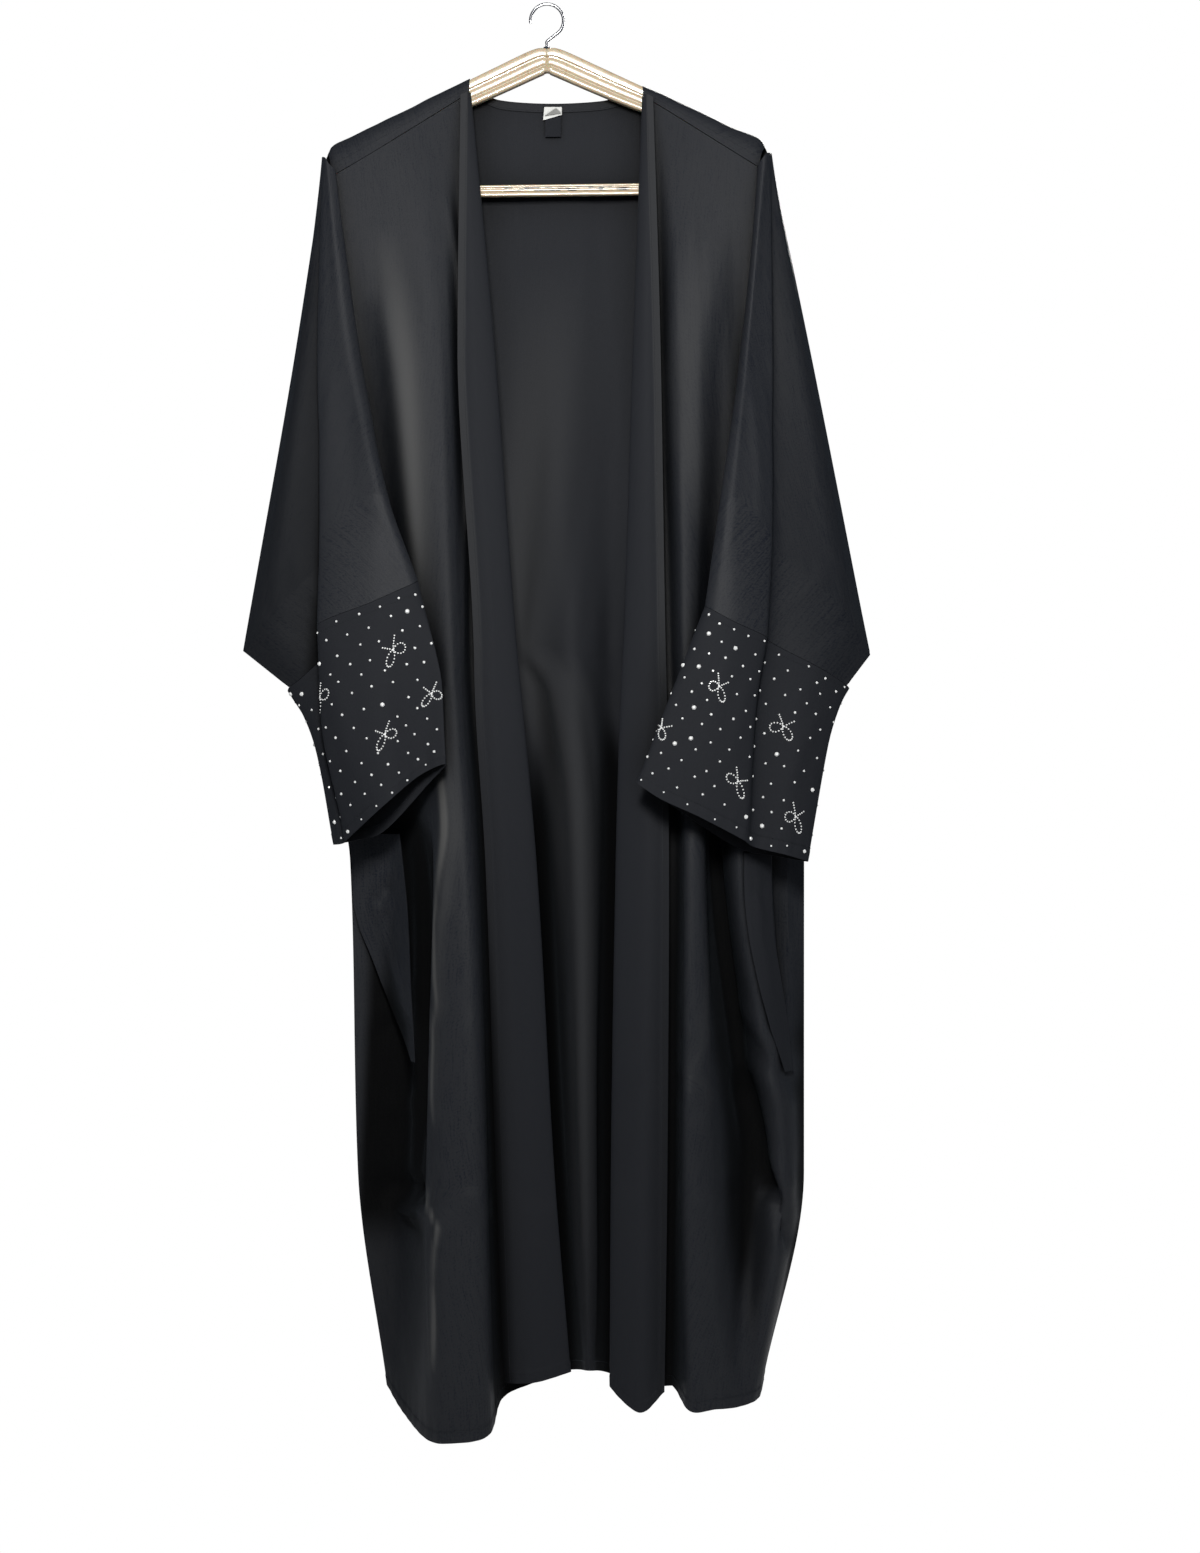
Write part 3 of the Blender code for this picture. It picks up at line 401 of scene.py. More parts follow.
# Bows: fold and share of the way round to the next, share of the way down, turn in degrees.
BOWS_RIGHT = (
    (4.45, 0.26, -6), (4.2, 0.66, 8), (5.35, 0.5, 12), (2.93, 0.36, -4), (9.3, 0.6, 10),
    (7.4, 0.35, -8), (8.6, 0.7, 6),
)
BOWS_LEFT = (
    (3.96, 0.32, 4), (1.4, 0.41, 6), (5.65, 0.6, -6), (3.25, 0.74, -4), (0.85, 0.82, 4), (9.2, 0.4, -8),
    (7.5, 0.6, 12), (8.6, 0.3, -6),
)

# ---- stitches ----------------------------------------------------------------------------------
STITCH_PITCH = 2.9
STITCH_LENGTH = 2.1
THREAD = 0.34
SEAM_INSET = 3            # columns that a row of stitches leaves free at its ends
FACING_STITCH = FACING_DEPTH - 1.4      # of the lapels' stitches, from the edge
ON_HEM = HEM / 2 + THREAD / 4           # of a stitch on a hem, from the cloth's middle
ON_CLOTH = CLOTH / 2 + THREAD / 4


# ---- curves ------------------------------------------------------------------------------------
def monotone(knots, values, at, corners=()):
    """A curve through the values that never overshoots them (Fritsch-Carlson slopes).

    It turns sharply at the knots that are named as corners, and is smooth at the others.
    """
    knots = np.asarray(knots, float)
    values = np.asarray(values, float)
    gaps = np.diff(knots)
    slopes = np.diff(values, axis=0) / gaps.reshape((-1,) + (1,) * (values.ndim - 1))
    tangents = np.zeros_like(values)
    tangents[0] = slopes[0]
    tangents[-1] = slopes[-1]
    for i in range(1, len(knots) - 1):
        before, after = slopes[i - 1], slopes[i]
        same = before * after > 0
        near = 2 * gaps[i] + gaps[i - 1]
        far = gaps[i] + 2 * gaps[i - 1]
        safe_before = np.where(same, before, 1)
        safe_after = np.where(same, after, 1)
        tangents[i] = np.where(same, (near + far) / (near / safe_before + far / safe_after), 0)
    arriving, leaving = tangents.copy(), tangents.copy()
    for i in corners:
        arriving[i], leaving[i] = slopes[i - 1], slopes[i]
    out = []
    for place in at:
        i = min(max(int(np.searchsorted(knots, place)) - 1, 0), len(gaps) - 1)
        h = gaps[i]
        s = (place - knots[i]) / h
        out.append((1 + 2 * s) * (1 - s) ** 2 * values[i] + s * (1 - s) ** 2 * h * leaving[i]
                   + s * s * (3 - 2 * s) * values[i + 1] - s * s * (1 - s) * h * arriving[i + 1])
    return np.array(out)


def rounded(points, steps, closed=False):
    """Points of a Catmull-Rom curve, `steps` to each interval, along the second axis of a grid."""
    count = points.shape[1]
    columns = []
    for i in range(count if closed else count - 1):
        if closed:
            a, b, c, d = (points[:, (i + k) % count] for k in (-1, 0, 1, 2))
        else:
            b, c = points[:, i], points[:, i + 1]
            a = points[:, i - 1] if i > 0 else 2 * b - c
            d = points[:, i + 2] if i + 2 < count else 2 * c - b
        for k in range(steps):
            s = k / steps
            columns.append(0.5 * (2 * b + (c - a) * s + (2 * a - 5 * b + 4 * c - d) * s ** 2
                                  + (3 * b - 3 * c + d - a) * s ** 3))
    if not closed:
        columns.append(points[:, -1])
    return np.stack(columns, axis=1)


def row_places(heights, extra=()):
    """Even rows between the named heights, and the extra ones near the hem."""
    places = [heights[0]]
    for low, high in zip(heights, heights[1:]):
        count = max(1, round((high - low) / ROW_LENGTH))
        places += [low + (high - low) * (k + 1) / count for k in range(count)]
    end = heights[-1]
    if extra:
        places = [p for p in places if p <= end - extra[0] - 1] + [end - e for e in extra] + [end]
    return places


def stitched_row(grid):
    """The row of the grid along which its hem is sewn."""
    return len(grid) - 2 - HEM_ROWS[::-1].index(STITCHED_ROW)


def body_folds(table, places):
    """Rows by height, a column for each named fold of a body panel."""
    folds = []
    for name, xs, ys, top, hem in table:
        zs = (top,) + tuple(-h for h in HEIGHTS[1:-1]) + (hem,)
        corners = SIDE_CORNERS if name.startswith("side") else ()
        folds.append(monotone(HEIGHTS, np.array(list(zip(xs, ys, zs)), float), places, corners))
    return np.stack(folds, axis=1)


def normals_of(grid, closed=False):
    down = np.gradient(grid, axis=0)
    if closed:
        across = (np.roll(grid, -1, axis=1) - np.roll(grid, 1, axis=1)) / 2
    else:
        across = np.gradient(grid, axis=1)
    normal = np.cross(down, across)
    return normal / np.maximum(np.linalg.norm(normal, axis=2, keepdims=True), 1e-9)


def toward_viewer(normals):
    return normals * np.where(normals[..., 1:2] > 0, -1, 1)


def ringed(grid):
    """The grid with its first column once more at its end."""
    return np.concatenate((grid, grid[:, :1]), axis=1)


def lengths(grid, axis):
    """How far each point lies along its row (axis 1) or its column (axis 0)."""
    steps = np.linalg.norm(np.diff(grid, axis=axis), axis=2)
    run = np.cumsum(steps, axis=axis)
    start = np.zeros_like(run.take([0], axis=axis))
    return np.concatenate((start, run), axis=axis)


def eased(share):
    share = np.clip(share, 0, 1)
    return share * share * (3 - 2 * share)


def turned_by(degrees, x, y):
    """The point turned by the angle."""
    c, s = math.cos(math.radians(degrees)), math.sin(math.radians(degrees))
    return x * c - y * s, x * s + y * c


def along_line(grid, line, steps):
    """How near every point lies to a crease's line, 0 to 1."""
    fold_a, z_a, fold_b, z_b, width = line
    across, drop = lengths(grid, 1), -grid[:, :, 2]
    ends = []
    for fold, z in ((fold_a, z_a), (fold_b, z_b)):
        column = min(int(round(fold * steps)), grid.shape[1] - 1)
        row = int(np.argmin(np.abs(grid[:, column, 2] - z)))
        ends.append((across[row, column], drop[row, column]))
    (ax, ay), (bx, by) = ends
    dx, dy = bx - ax, by - ay
    long = math.hypot(dx, dy) + 1e-6
    along = ((across - ax) * dx + (drop - ay) * dy) / long ** 2
    side = np.abs((across - ax) * dy - (drop - ay) * dx) / long
    held = 1 - np.clip(np.abs(2 * along - 1), 0, 1) ** 3
    return np.exp(-(side / width) ** 2) * held


def creased(grid, normals, creases, steps, closed=False, foot=12):
    """The grid with its waves and creases: soft ridges and troughs along the listed lines.

    They fade toward its edges; `foot` is how much less they do at a hem, which puckers along its
    stitches. Without it the last row is a seam, and lies still.
    """
    across, drop = lengths(grid, 1), -grid[:, :, 2]
    lift = np.zeros(grid.shape[:2])
    for *line, height in creases:
        lift += height * along_line(grid, line, steps)
    mean = across.mean(axis=0)
    sway, slow = WAVE_BEND
    for k, (wave, height, drift) in enumerate(WAVES):
        turn = chance.uniform(0, 2 * math.pi)
        lift += height * np.sin(2 * math.pi * mean / wave + turn + drop * drift * (k + 2)
                                + sway * np.sin(drop / slow + turn))
    from_top = lengths(grid, 0)
    from_foot = from_top[-1:] - from_top
    edge = np.minimum(from_top, from_foot + foot)
    if not closed:
        edge = np.minimum(edge, np.minimum(across, across[:, -1:] - across) + SIDE_FREE)
    lift *= eased(edge / WAVE_FADE)
    if foot:
        (wave, height), (sway, slow) = PUCKER, PUCKER_BEND
        lift += height * np.sin(2 * math.pi * across / wave + sway * np.sin(across / slow)) * eased(
            1 - np.abs(from_foot - HEM_DEPTH) / PUCKER_REACH)
    return grid + normals * lift[..., None]


def thicknesses(grid, foot=None, last=None):
    """Thickness at each point: one layer, or a turned hem within the given depth of an edge."""
    thick = np.full(grid.shape[:2], CLOTH)
    down, across = lengths(grid, 0), lengths(grid, 1)
    for depth, reach in ((foot, down[-1:] - down), (last, across[:, -1:] - across)):
        if depth:
            step = eased((depth + TURN / 2 - reach) / TURN)
            thick = np.maximum(thick, CLOTH + (HEM - CLOTH) * step)
    return thick


# ---- meshes ------------------------------------------------------------------------------------
def add_object(name, data):
    made = bpy.data.objects.new(name, data)
    bpy.context.scene.collection.objects.link(made)
    return made


def mesh_piece(name, points, faces, material, uvs=None, smooth=True):
    data = bpy.data.meshes.new(name)
    data.from_pydata([tuple(p) for p in np.asarray(points) * MM], [], faces)
    if uvs is not None:
        layer = data.uv_layers.new(name="cloth")
        layer.data.foreach_set("uv", np.asarray(uvs, np.float32).ravel())
    data.materials.append(material)
    data.update()
    if smooth:
        data.shade_smooth()
        data.set_sharp_from_angle(angle=SHARP_EDGE)
    return add_object(name, data)


def groove_shade_marks(grid, normals):
    """Painted shade: how dark every point of the shell's two sides is painted between folds, 0 to 1."""
    x, y, z = np.moveaxis(grid, 2, 0)
    reach = GROOVE_SLOPE * np.abs(x[:, :, None] - x[:, None, :])
    before = y - (y[:, None, :] + reach).min(axis=2)
    behind = (y[:, None, :] - reach).max(axis=2) - y
    start, span = GROOVE
    before, behind = eased((before - start) / span), GROOVE_BEHIND * eased((behind - start) / span)
    middle, side, rise, most = GROOVE_SIDE
    level_right, level_left, fall = GROOVE_FOOT
    level = np.where(x < middle, level_right, level_left)
    before *= 1 - most * eased((np.abs(x - middle) - side) / rise) * eased((level - z) / fall)
    forward = normals[:, :, 1] < 0
    return np.stack((np.where(forward, before, behind), np.where(forward, behind, before)))


def shell(name, grid, material, thick=CLOTH, closed=False, normals=None, keep=None, inside=1,
          strip=None, lit=(), lit_steps=FOLD_STEPS, shade=None):
    """A closed thin shell on both sides of the grid, with a UV map in metres along the cloth.

    Its points carry marks for the finish: the matt reverse (side 0 or 1 of the grid, 2 for both),
    a lighter strip of the given width along the last column, painted highlights along lit lines,
    painted shade by the depth of the grooves, and a painted shade over its first columns.
    """
    rows, columns = grid.shape[:2]
    if normals is None:
        normals = normals_of(grid, closed)
    half = np.broadcast_to(np.asarray(thick, float), (rows, columns))[..., None] / 2
    points = np.concatenate(((grid + normals * half).reshape(-1, 3),
                             (grid - normals * half).reshape(-1, 3)))
    around = ringed(grid) if closed else grid
    u, v = lengths(around, 1) * MM, lengths(around, 0) * MM
    last = columns if closed else columns - 1
    cells = np.ones((rows - 1, last), bool) if keep is None else keep
    inner = rows * columns
    faces, uvs = [], []

    def face(*corners):
        faces.append([r * columns + c % columns + side * inner for r, c, side in corners])
        uvs.extend((u[r, c], v[r, c]) for r, c, _ in corners)

    for r, c in zip(*np.nonzero(cells)):
        r, c = int(r), int(c)
        face((r, c, 0), (r + 1, c, 0), (r + 1, c + 1, 0), (r, c + 1, 0))
        face((r, c, 1), (r, c + 1, 1), (r + 1, c + 1, 1), (r + 1, c, 1))
        if r == 0 or not cells[r - 1, c]:
            face((r, c, 0), (r, c + 1, 0), (r, c + 1, 1), (r, c, 1))
        if r == rows - 2 or not cells[r + 1, c]:
            face((r + 1, c + 1, 0), (r + 1, c, 0), (r + 1, c, 1), (r + 1, c + 1, 1))
        if not closed:
            if c == 0 or not cells[r, c - 1]:
                face((r + 1, c, 0), (r, c, 0), (r, c, 1), (r + 1, c, 1))
            if c == last - 1 or not cells[r, c + 1]:
                face((r, c + 1, 0), (r + 1, c + 1, 0), (r + 1, c + 1, 1), (r, c + 1, 1))

    z = grid[:, :, 2]
    lighter = np.zeros((rows, columns))
    if strip:
        across = lengths(grid, 1)
        level, span, most = STRIP_FADE
        lighter = (eased((strip - across[:, -1:] + across) / TURN + 0.5)
                   * STRIP_SHARE * (1 - most * eased((level - z) / span)))
    # Painted highlights along the lit lines share the strip's mark and its lighter colour.
    for *line, share in lit:
        lighter = np.maximum(lighter, share * along_line(grid, line, lit_steps))
    # Painted shade: by the grooves' depth, and over the shaded first columns.
    painted_shade = np.zeros((2, rows, columns)) if closed else groove_shade_marks(grid, normals)
    if shade:
        (last_shaded, share), (level, span) = shade, SHADE_TOP
        dim = np.where(np.arange(columns) <= last_shaded, share, 0) * eased((level - z) / span)
        painted_shade = np.maximum(painted_shade, dim)
    marks = {"reverse": np.repeat(((1, 0), (0, 1), (1, 1))[inside], inner),
             "strip": np.tile(lighter.ravel(), 2), "groove": painted_shade.ravel()}
    used = np.unique(np.array([i for f in faces for i in f]))
    place = np.zeros(len(points), int)
    place[used] = np.arange(len(used))
    faces = [[int(place[i]) for i in f] for f in faces]
    piece = mesh_piece(name, points[used], faces, material, uvs)
    for label, values in marks.items():
        mark = piece.data.attributes.new(label, "FLOAT", "POINT")
        mark.data.foreach_set("value", values[used].astype(np.float32))
    return piece


def cut_of(grid, keep=None, closed=False):
    """Flat width, length and area of the cloth on a grid, in metres."""
    around = ringed(grid) if closed else grid
    diagonal = around[1:, 1:] - around[:-1, :-1]
    other = around[1:, :-1] - around[:-1, 1:]
    cells = np.linalg.norm(np.cross(diagonal, other), axis=2) / 2
    area = cells.sum() if keep is None else cells[keep].sum()
    width, length = lengths(around, 1).max(), lengths(around, 0).max()
    return width * MM, length * MM, min(area * MM * MM, width * length * MM * MM)


def fitted(piece, slot, *nodes):
    """The piece rides with the body and stands for its nodes; its slot is not used."""
    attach(piece, "root")
    if nodes:
        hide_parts(*nodes)
    return piece


def sew_in(piece, grid, nodes, slot="cloak_cloth", keep=None, closed=False):
    """Fits one piece of cloth; its cut is measured but not kept."""
    width, length, area = cut_of(grid, keep, closed)
    fitted(piece, slot, *nodes)


# ---- finishes ----------------------------------------------------------------------------------
WEAVE_PITCH = 0.55        # of the cloth's twill lines
WEAVE_SHARES = (0.45, 0.5, 2.4, 1.6)      # height of the weft, the twill, the grain, pulled threads
WEAVE_TONES = (1.1, 0.9, -0.5)    # tone of the grain and the pulled threads, and its offset
GRAIN_SCALE = 560
THREAD_STRETCH = (620, 34, 1)
WEAVE_RELIEF = 0.00005
SATIN_GLOSS = 0.12        # specular level of the cloth
SHEEN_TINT = (0.62, 0.74, 0.9, 1)
MOTTLE = (5.5, 3, (1.5, 1.5, 0.45))      # scale, detail and stretch of the cloth's uneven shade
THREAD_SHOWS = 2.2        # how much its pulled threads add to that
SHADE_GAIN = (1.3, -1.15)         # gain and offset of the two, from the dark colour to the light
ROUGH_SPREAD = 0.22       # between the smoothest and the roughest thread
DEPTH_SHARE = 0.04        # of the dark colour that the painted shade deep in a fold keeps
HOLLOW_REACH = 0.05       # painted shade from ambient occlusion: how near cloth must be to darken the depths of a fold
HOLLOW_GAIN = (1.7, -0.6)         # gain and offset of a fold's openness
HOLLOW_SAMPLES = 6
MARK = (0.85, 0.25)       # how far a marked place takes its own colour, how much rougher it is
GROOVE_MARK = (1, 0.4)    # the same for a groove's painted shade
PLASTIC_ROUGH = (0.2, 0.14)       # spread and least value
FINE_SCALE = 260
SMUDGE_SCALE = 62
SMUDGE_GAIN = (4.5, -2.6)
SMUDGE_RELIEF = 0.0001
BAR_REFLECTIONS = (1, 3, (95, 300, 420))  # scale, detail and stretch of the bar's painted dark reflections
BAR_REFLECTION_GAIN = (22, -11)
WIRE_SCALE = 420
WIRE_ROUGH = (0.16, -0.06)        # spread, and the least value below the wire's own
WIRE_RELIEF = 0.00003
GLINT_SCALE = 520
GLASS = (0.86, 0.87, 0.88), (1, 1, 0.98)     # darkest and brightest facet


def node(tree, kind, inputs=(), **settings):
    """A new node with its settings. An input takes a value, or a link from another node."""
    made = tree.nodes.new(kind)
    for name, value in settings.items():
        setattr(made, name, value)
    for name, value in dict(inputs).items():
        if isinstance(value, bpy.types.NodeSocket):
            tree.links.new(value, made.inputs[name])
        else:
            made.inputs[name].default_value = value
    return made


def tree_of(kind, name, inputs, outputs):
    """A node group with named inputs and outputs, and its input and output nodes."""
    tree = bpy.data.node_groups.new(name, kind)
    for label, sort, value in inputs:
        socket = tree.interface.new_socket(label, in_out="INPUT", socket_type="NodeSocket" + sort)
        if value is not None:
            socket.default_value = value
    for label, sort in outputs:
        tree.interface.new_socket(label, in_out="OUTPUT", socket_type="NodeSocket" + sort)
    return tree, node(tree, "NodeGroupInput").outputs, node(tree, "NodeGroupOutput").inputs


def math_node(tree, operation, *values):
    return node(tree, "ShaderNodeMath", enumerate(values), operation=operation).outputs[0]


def noise_node(tree, vector, scale, detail=2, stretch=None):
    if stretch:
        vector = node(tree, "ShaderNodeMapping", {"Vector": vector, "Scale": stretch}).outputs[0]
    return node(tree, "ShaderNodeTexNoise",
                {"Vector": vector, "Scale": scale, "Detail": detail}).outputs["Fac"]


def between(tree, factor, low, high):
    """A colour between two, by the factor; each is plain or comes from a node."""
    low, high = ((*end, 1) if isinstance(end, tuple) else end for end in (low, high))
    mix = node(tree, "ShaderNodeMix", data_type="RGBA")
    sockets = [socket for socket in mix.inputs if socket.type == "RGBA"]
    for socket, end in zip(sockets, (low, high)):
        if isinstance(end, tuple):
            socket.default_value = end
        else:
            tree.links.new(end, socket)
    tree.links.new(factor, mix.inputs["Factor"])
    return next(socket for socket in mix.outputs if socket.type == "RGBA")


def bump(tree, height, distance):
    return node(tree, "ShaderNodeBump",
                {"Height": height, "Distance": distance, "Strength": 1}).outputs[0]


def object_place(tree):
    return node(tree, "ShaderNodeTexCoord").outputs["Object"]


def new_material(name, colour, roughness, metallic=0, **plain):
    """A material whose shader takes plain values; links(...) then joins nodes to its sockets."""
    material = bpy.data.materials.new(name)
    material.use_nodes = True
    tree = material.node_tree
    shader = tree.nodes["Principled BSDF"]
    plain.update(Base_Color=(*colour, 1), Roughness=roughness, Metallic=metallic)
    for label, value in plain.items():
        shader.inputs[label.replace("_", " ")].default_value = value

    def links(**sockets):
        for label, socket in sockets.items():
            tree.links.new(socket, shader.inputs[label.replace("_", " ")])

    return material, tree, links


def weave_group():
    """Crepe twill: fine diagonal lines broken by the twisted yarn, and long pulled threads."""
    group, given, result = tree_of(
        "ShaderNodeTree", "crepe_weave",
        (("Cloth", "Vector", None), ("Pitch", "Float", WEAVE_PITCH * MM)),
        (("Height", "Float"), ("Thread", "Float")))
    weft_high, twill_high, grain_high, thread_high = WEAVE_SHARES
    grain_tone, thread_tone, offset = WEAVE_TONES
    along, down = node(group, "ShaderNodeSeparateXYZ", {0: given["Cloth"]}).outputs[:2]
    turns = math_node(group, "DIVIDE", 2 * math.pi, given["Pitch"])
    diagonal = math_node(group, "MULTIPLY_ADD", down, 0.5, along)
    line = math_node(group, "SINE", math_node(group, "MULTIPLY", diagonal, turns))
    weft = math_node(group, "SINE", math_node(group, "MULTIPLY", down, turns))
    twill = math_node(group, "MULTIPLY_ADD", weft, weft_high, line)
    grain = noise_node(group, given["Cloth"], GRAIN_SCALE)
    thread = noise_node(group, given["Cloth"], 1, 3, THREAD_STRETCH)
    height = math_node(group, "MULTIPLY", twill, twill_high)
    height = math_node(group, "MULTIPLY_ADD", grain, grain_high, height)
    height = math_node(group, "MULTIPLY_ADD", thread, thread_high, height)
    mixed = math_node(group, "MULTIPLY_ADD", thread, thread_tone, offset)
    mixed = math_node(group, "MULTIPLY_ADD", grain, grain_tone, mixed)
    group.links.new(height, result["Height"])
    group.links.new(mixed, result["Thread"])
    return group


def cloth_material(name, weave, dark, light, roughness, sheen, reverse=None, strip=None):
    """Crepe. Its reverse and its strip, which also carries painted highlights, may take a colour of
    their own; painted shade darkens it in grooves and in the depths of folds.
    """
    material, tree, links = new_material(
        name, light, roughness, Specular_IOR_Level=SATIN_GLOSS,
        Sheen_Weight=sheen, Sheen_Roughness=0.5, Sheen_Tint=SHEEN_TINT)
    uv = node(tree, "ShaderNodeUVMap", uv_map="cloth").outputs[0]
    height, thread = node(tree, "ShaderNodeGroup", {"Cloth": uv}, node_tree=weave).outputs
    mottle = noise_node(tree, object_place(tree), *MOTTLE)
    blend = math_node(tree, "MULTIPLY_ADD", thread, THREAD_SHOWS, mottle)
    colour = between(tree, math_node(tree, "MULTIPLY_ADD", blend, *SHADE_GAIN), dark, light)
    rough = math_node(tree, "MULTIPLY_ADD", thread, ROUGH_SPREAD, roughness - ROUGH_SPREAD / 2)
    # deep is the painted shade's colour, for the grooves and for the ambient occlusion below.
    deep = tuple(channel * DEPTH_SHARE for channel in dark)
    for label, other, (most, rougher) in (("reverse", reverse, MARK), ("strip", strip, MARK),
                                          ("groove", deep, GROOVE_MARK)):
        if other:
            mark = node(tree, "ShaderNodeAttribute", attribute_name=label).outputs["Fac"]
            colour = between(tree, math_node(tree, "MULTIPLY", mark, most), colour, other)
            rough = math_node(tree, "MULTIPLY_ADD", mark, rougher, rough)
    # Painted shade: ambient occlusion darkens the base colour in the depths of folds.
    occlusion_shade = node(tree, "ShaderNodeAmbientOcclusion", {"Distance": HOLLOW_REACH},
                  samples=HOLLOW_SAMPLES)
    open_share = math_node(tree, "MULTIPLY_ADD", occlusion_shade.outputs["AO"], *HOLLOW_GAIN)
    links(Base_Color=between(tree, open_share, deep, colour), Roughness=rough,
          Normal=bump(tree, height, WEAVE_RELIEF))
    return material


def plastic_material(name, colour, shade, reflection_colour, **plain):
    """Milky moulded plastic: faint smudges, the mould's ring mark, painted dark reflections along the
    bar.
    """
    material, tree, links = new_material(name, colour, 0.24, Coat_Weight=0.3, **plain)
    place = object_place(tree)
    across, _, level = node(tree, "ShaderNodeSeparateXYZ", {0: place}).outputs
    smudge = noise_node(tree, place, SMUDGE_SCALE)
    centre, radius, width = RING_MARK
    height = math_node(tree, "SUBTRACT", level, centre)
    reach = math_node(tree, "SQRT", math_node(
        tree, "MULTIPLY_ADD", height, height, math_node(tree, "MULTIPLY", across, across)))
    ring = math_node(tree, "ABSOLUTE", math_node(tree, "SUBTRACT", reach, radius))
    mask = math_node(tree, "MAXIMUM", math_node(tree, "MULTIPLY_ADD", smudge, *SMUDGE_GAIN),
                     math_node(tree, "GREATER_THAN", width, ring))
    middle, half, start = BAR_REFLECTION_BAND
    straight = math_node(tree, "MULTIPLY_ADD", across, -HANGER_TILT, level)
    band = math_node(tree, "ABSOLUTE", math_node(tree, "SUBTRACT", straight, middle))
    on_bar = math_node(tree, "MULTIPLY", math_node(tree, "GREATER_THAN", half, band),
                       math_node(tree, "GREATER_THAN", across, start))
    # Painted dark reflections in a band along the bar.
    reflection_patch = math_node(tree, "MULTIPLY_ADD", noise_node(tree, place, *BAR_REFLECTIONS), *BAR_REFLECTION_GAIN)
    dark = math_node(tree, "MULTIPLY", on_bar, reflection_patch)
    rough = math_node(tree, "MULTIPLY_ADD", noise_node(tree, place, FINE_SCALE), *PLASTIC_ROUGH)
    smudged = between(tree, mask, colour, shade)
    links(Base_Color=between(tree, dark, smudged, reflection_colour), Roughness=rough,
          Normal=bump(tree, smudge, SMUDGE_RELIEF))
    return material


def metal_material(name, colour, roughness):
    """Drawn wire."""
    material, tree, links = new_material(name, colour, roughness, 1)
    drawn = noise_node(tree, object_place(tree), WIRE_SCALE)
    spread, least = WIRE_ROUGH
    links(Roughness=math_node(tree, "MULTIPLY_ADD", drawn, spread, roughness + least),
          Normal=bump(tree, drawn, WIRE_RELIEF))
    return material


def stone_material(name):
    """Foil-backed cut glass: bright facets that differ a little from stone to stone."""
    material, tree, links = new_material(
        name, (0.9, 0.9, 0.88), 0.3, Coat_Weight=0.6, Coat_Roughness=0.05)
    glint = noise_node(tree, object_place(tree), GLINT_SCALE, 1)
    links(Base_Color=between(tree, glint, *GLASS))
    return material


# ---- repeats -----------------------------------------------------------------------------------
def repeat_tree(name, inputs):
    """A tree that repeats something over its geometry and gives it a finish."""
    return tree_of("GeometryNodeTree", name,
                   (("Geometry", "Geometry", None), *inputs, ("Finish", "Material", None)),
                   (("Geometry", "Geometry"),))


def placed_on(tree, given, points, instance, facing, scale, result):
    """Sets the instance on the points, turned to face the given way, and ends the tree."""
    turn = node(tree, "FunctionNodeAlignRotationToVector", {"Vector": facing}, axis="Z")
    place = node(tree, "GeometryNodeInstanceOnPoints", {
        "Points": points, "Instance": instance, "Rotation": turn.outputs[0], "Scale": scale})
    real = node(tree, "GeometryNodeRealizeInstances", {0: place.outputs[0]})
    finish = node(tree, "GeometryNodeSetMaterial",
                  {"Geometry": real.outputs[0], "Material": given["Finish"]})
    tree.links.new(finish.outputs[0], result[0])
    return tree


def stitch_tree():
    """Stitches along the edges of a line: one thread's bulge at every pitch."""
    tree, given, result = repeat_tree("stitch_line", (
        ("Pitch", "Float", STITCH_PITCH * MM), ("Length", "Float", STITCH_LENGTH * MM),
        ("Thread", "Float", THREAD * MM)))
    curve = node(tree, "GeometryNodeMeshToCurve", {0: given["Geometry"]})
    spaced = node(tree, "GeometryNodeResampleCurve",
                  {"Curve": curve.outputs[0], "Length": given["Pitch"]}, mode="LENGTH")
    bulge = node(tree, "GeometryNodeMeshUVSphere", {"Segments": 5, "Rings": 4, "Radius": 0.5})
    size = node(tree, "ShaderNodeCombineXYZ",
                {0: given["Thread"], 1: given["Thread"], 2: given["Length"]})
    tangent = node(tree, "GeometryNodeInputTangent")
    return placed_on(tree, given, spaced.outputs[0], bulge.outputs[0], tangent.outputs[0],
                     size.outputs[0], result)


def stone_tree():
    """Cut stones on points that carry the way they face and their width."""
    tree, given, result = repeat_tree("stones", (
        ("Sides", "Int", 8), ("Table", "Float", 0.28), ("Rise", "Float", 0.3)))
    cut = node(tree, "GeometryNodeMeshCone", {
        "Radius Bottom": 0.5, "Vertices": given["Sides"], "Radius Top": given["Table"],
        "Depth": given["Rise"]})
    facing, width = (node(tree, "GeometryNodeInputNamedAttribute", {"Name": name}, data_type=kind)
                     for name, kind in (("facing", "FLOAT_VECTOR"), ("width", "FLOAT")))
    return placed_on(tree, given, given["Geometry"], cut.outputs["Mesh"],
                     facing.outputs["Attribute"], width.outputs["Attribute"], result)


def grown(name, data, tree, finish):
    """The plain mesh that a tree makes from the data, as a piece that goes with the cloth."""
    source = add_object(name + "_source", data)
    modifier = source.modifiers.new("repeat", "NODES")
    modifier.node_group = tree
    for item in tree.interface.items_tree:
        if item.name == "Finish":
            modifier[item.identifier] = finish
    ready = source.evaluated_get(bpy.context.evaluated_depsgraph_get())
    made = bpy.data.meshes.new_from_object(ready)
    source.modifiers.remove(modifier)
    bpy.data.objects.remove(source, do_unlink=True)
    return fitted(add_object(name, made), "cloak_cloth")


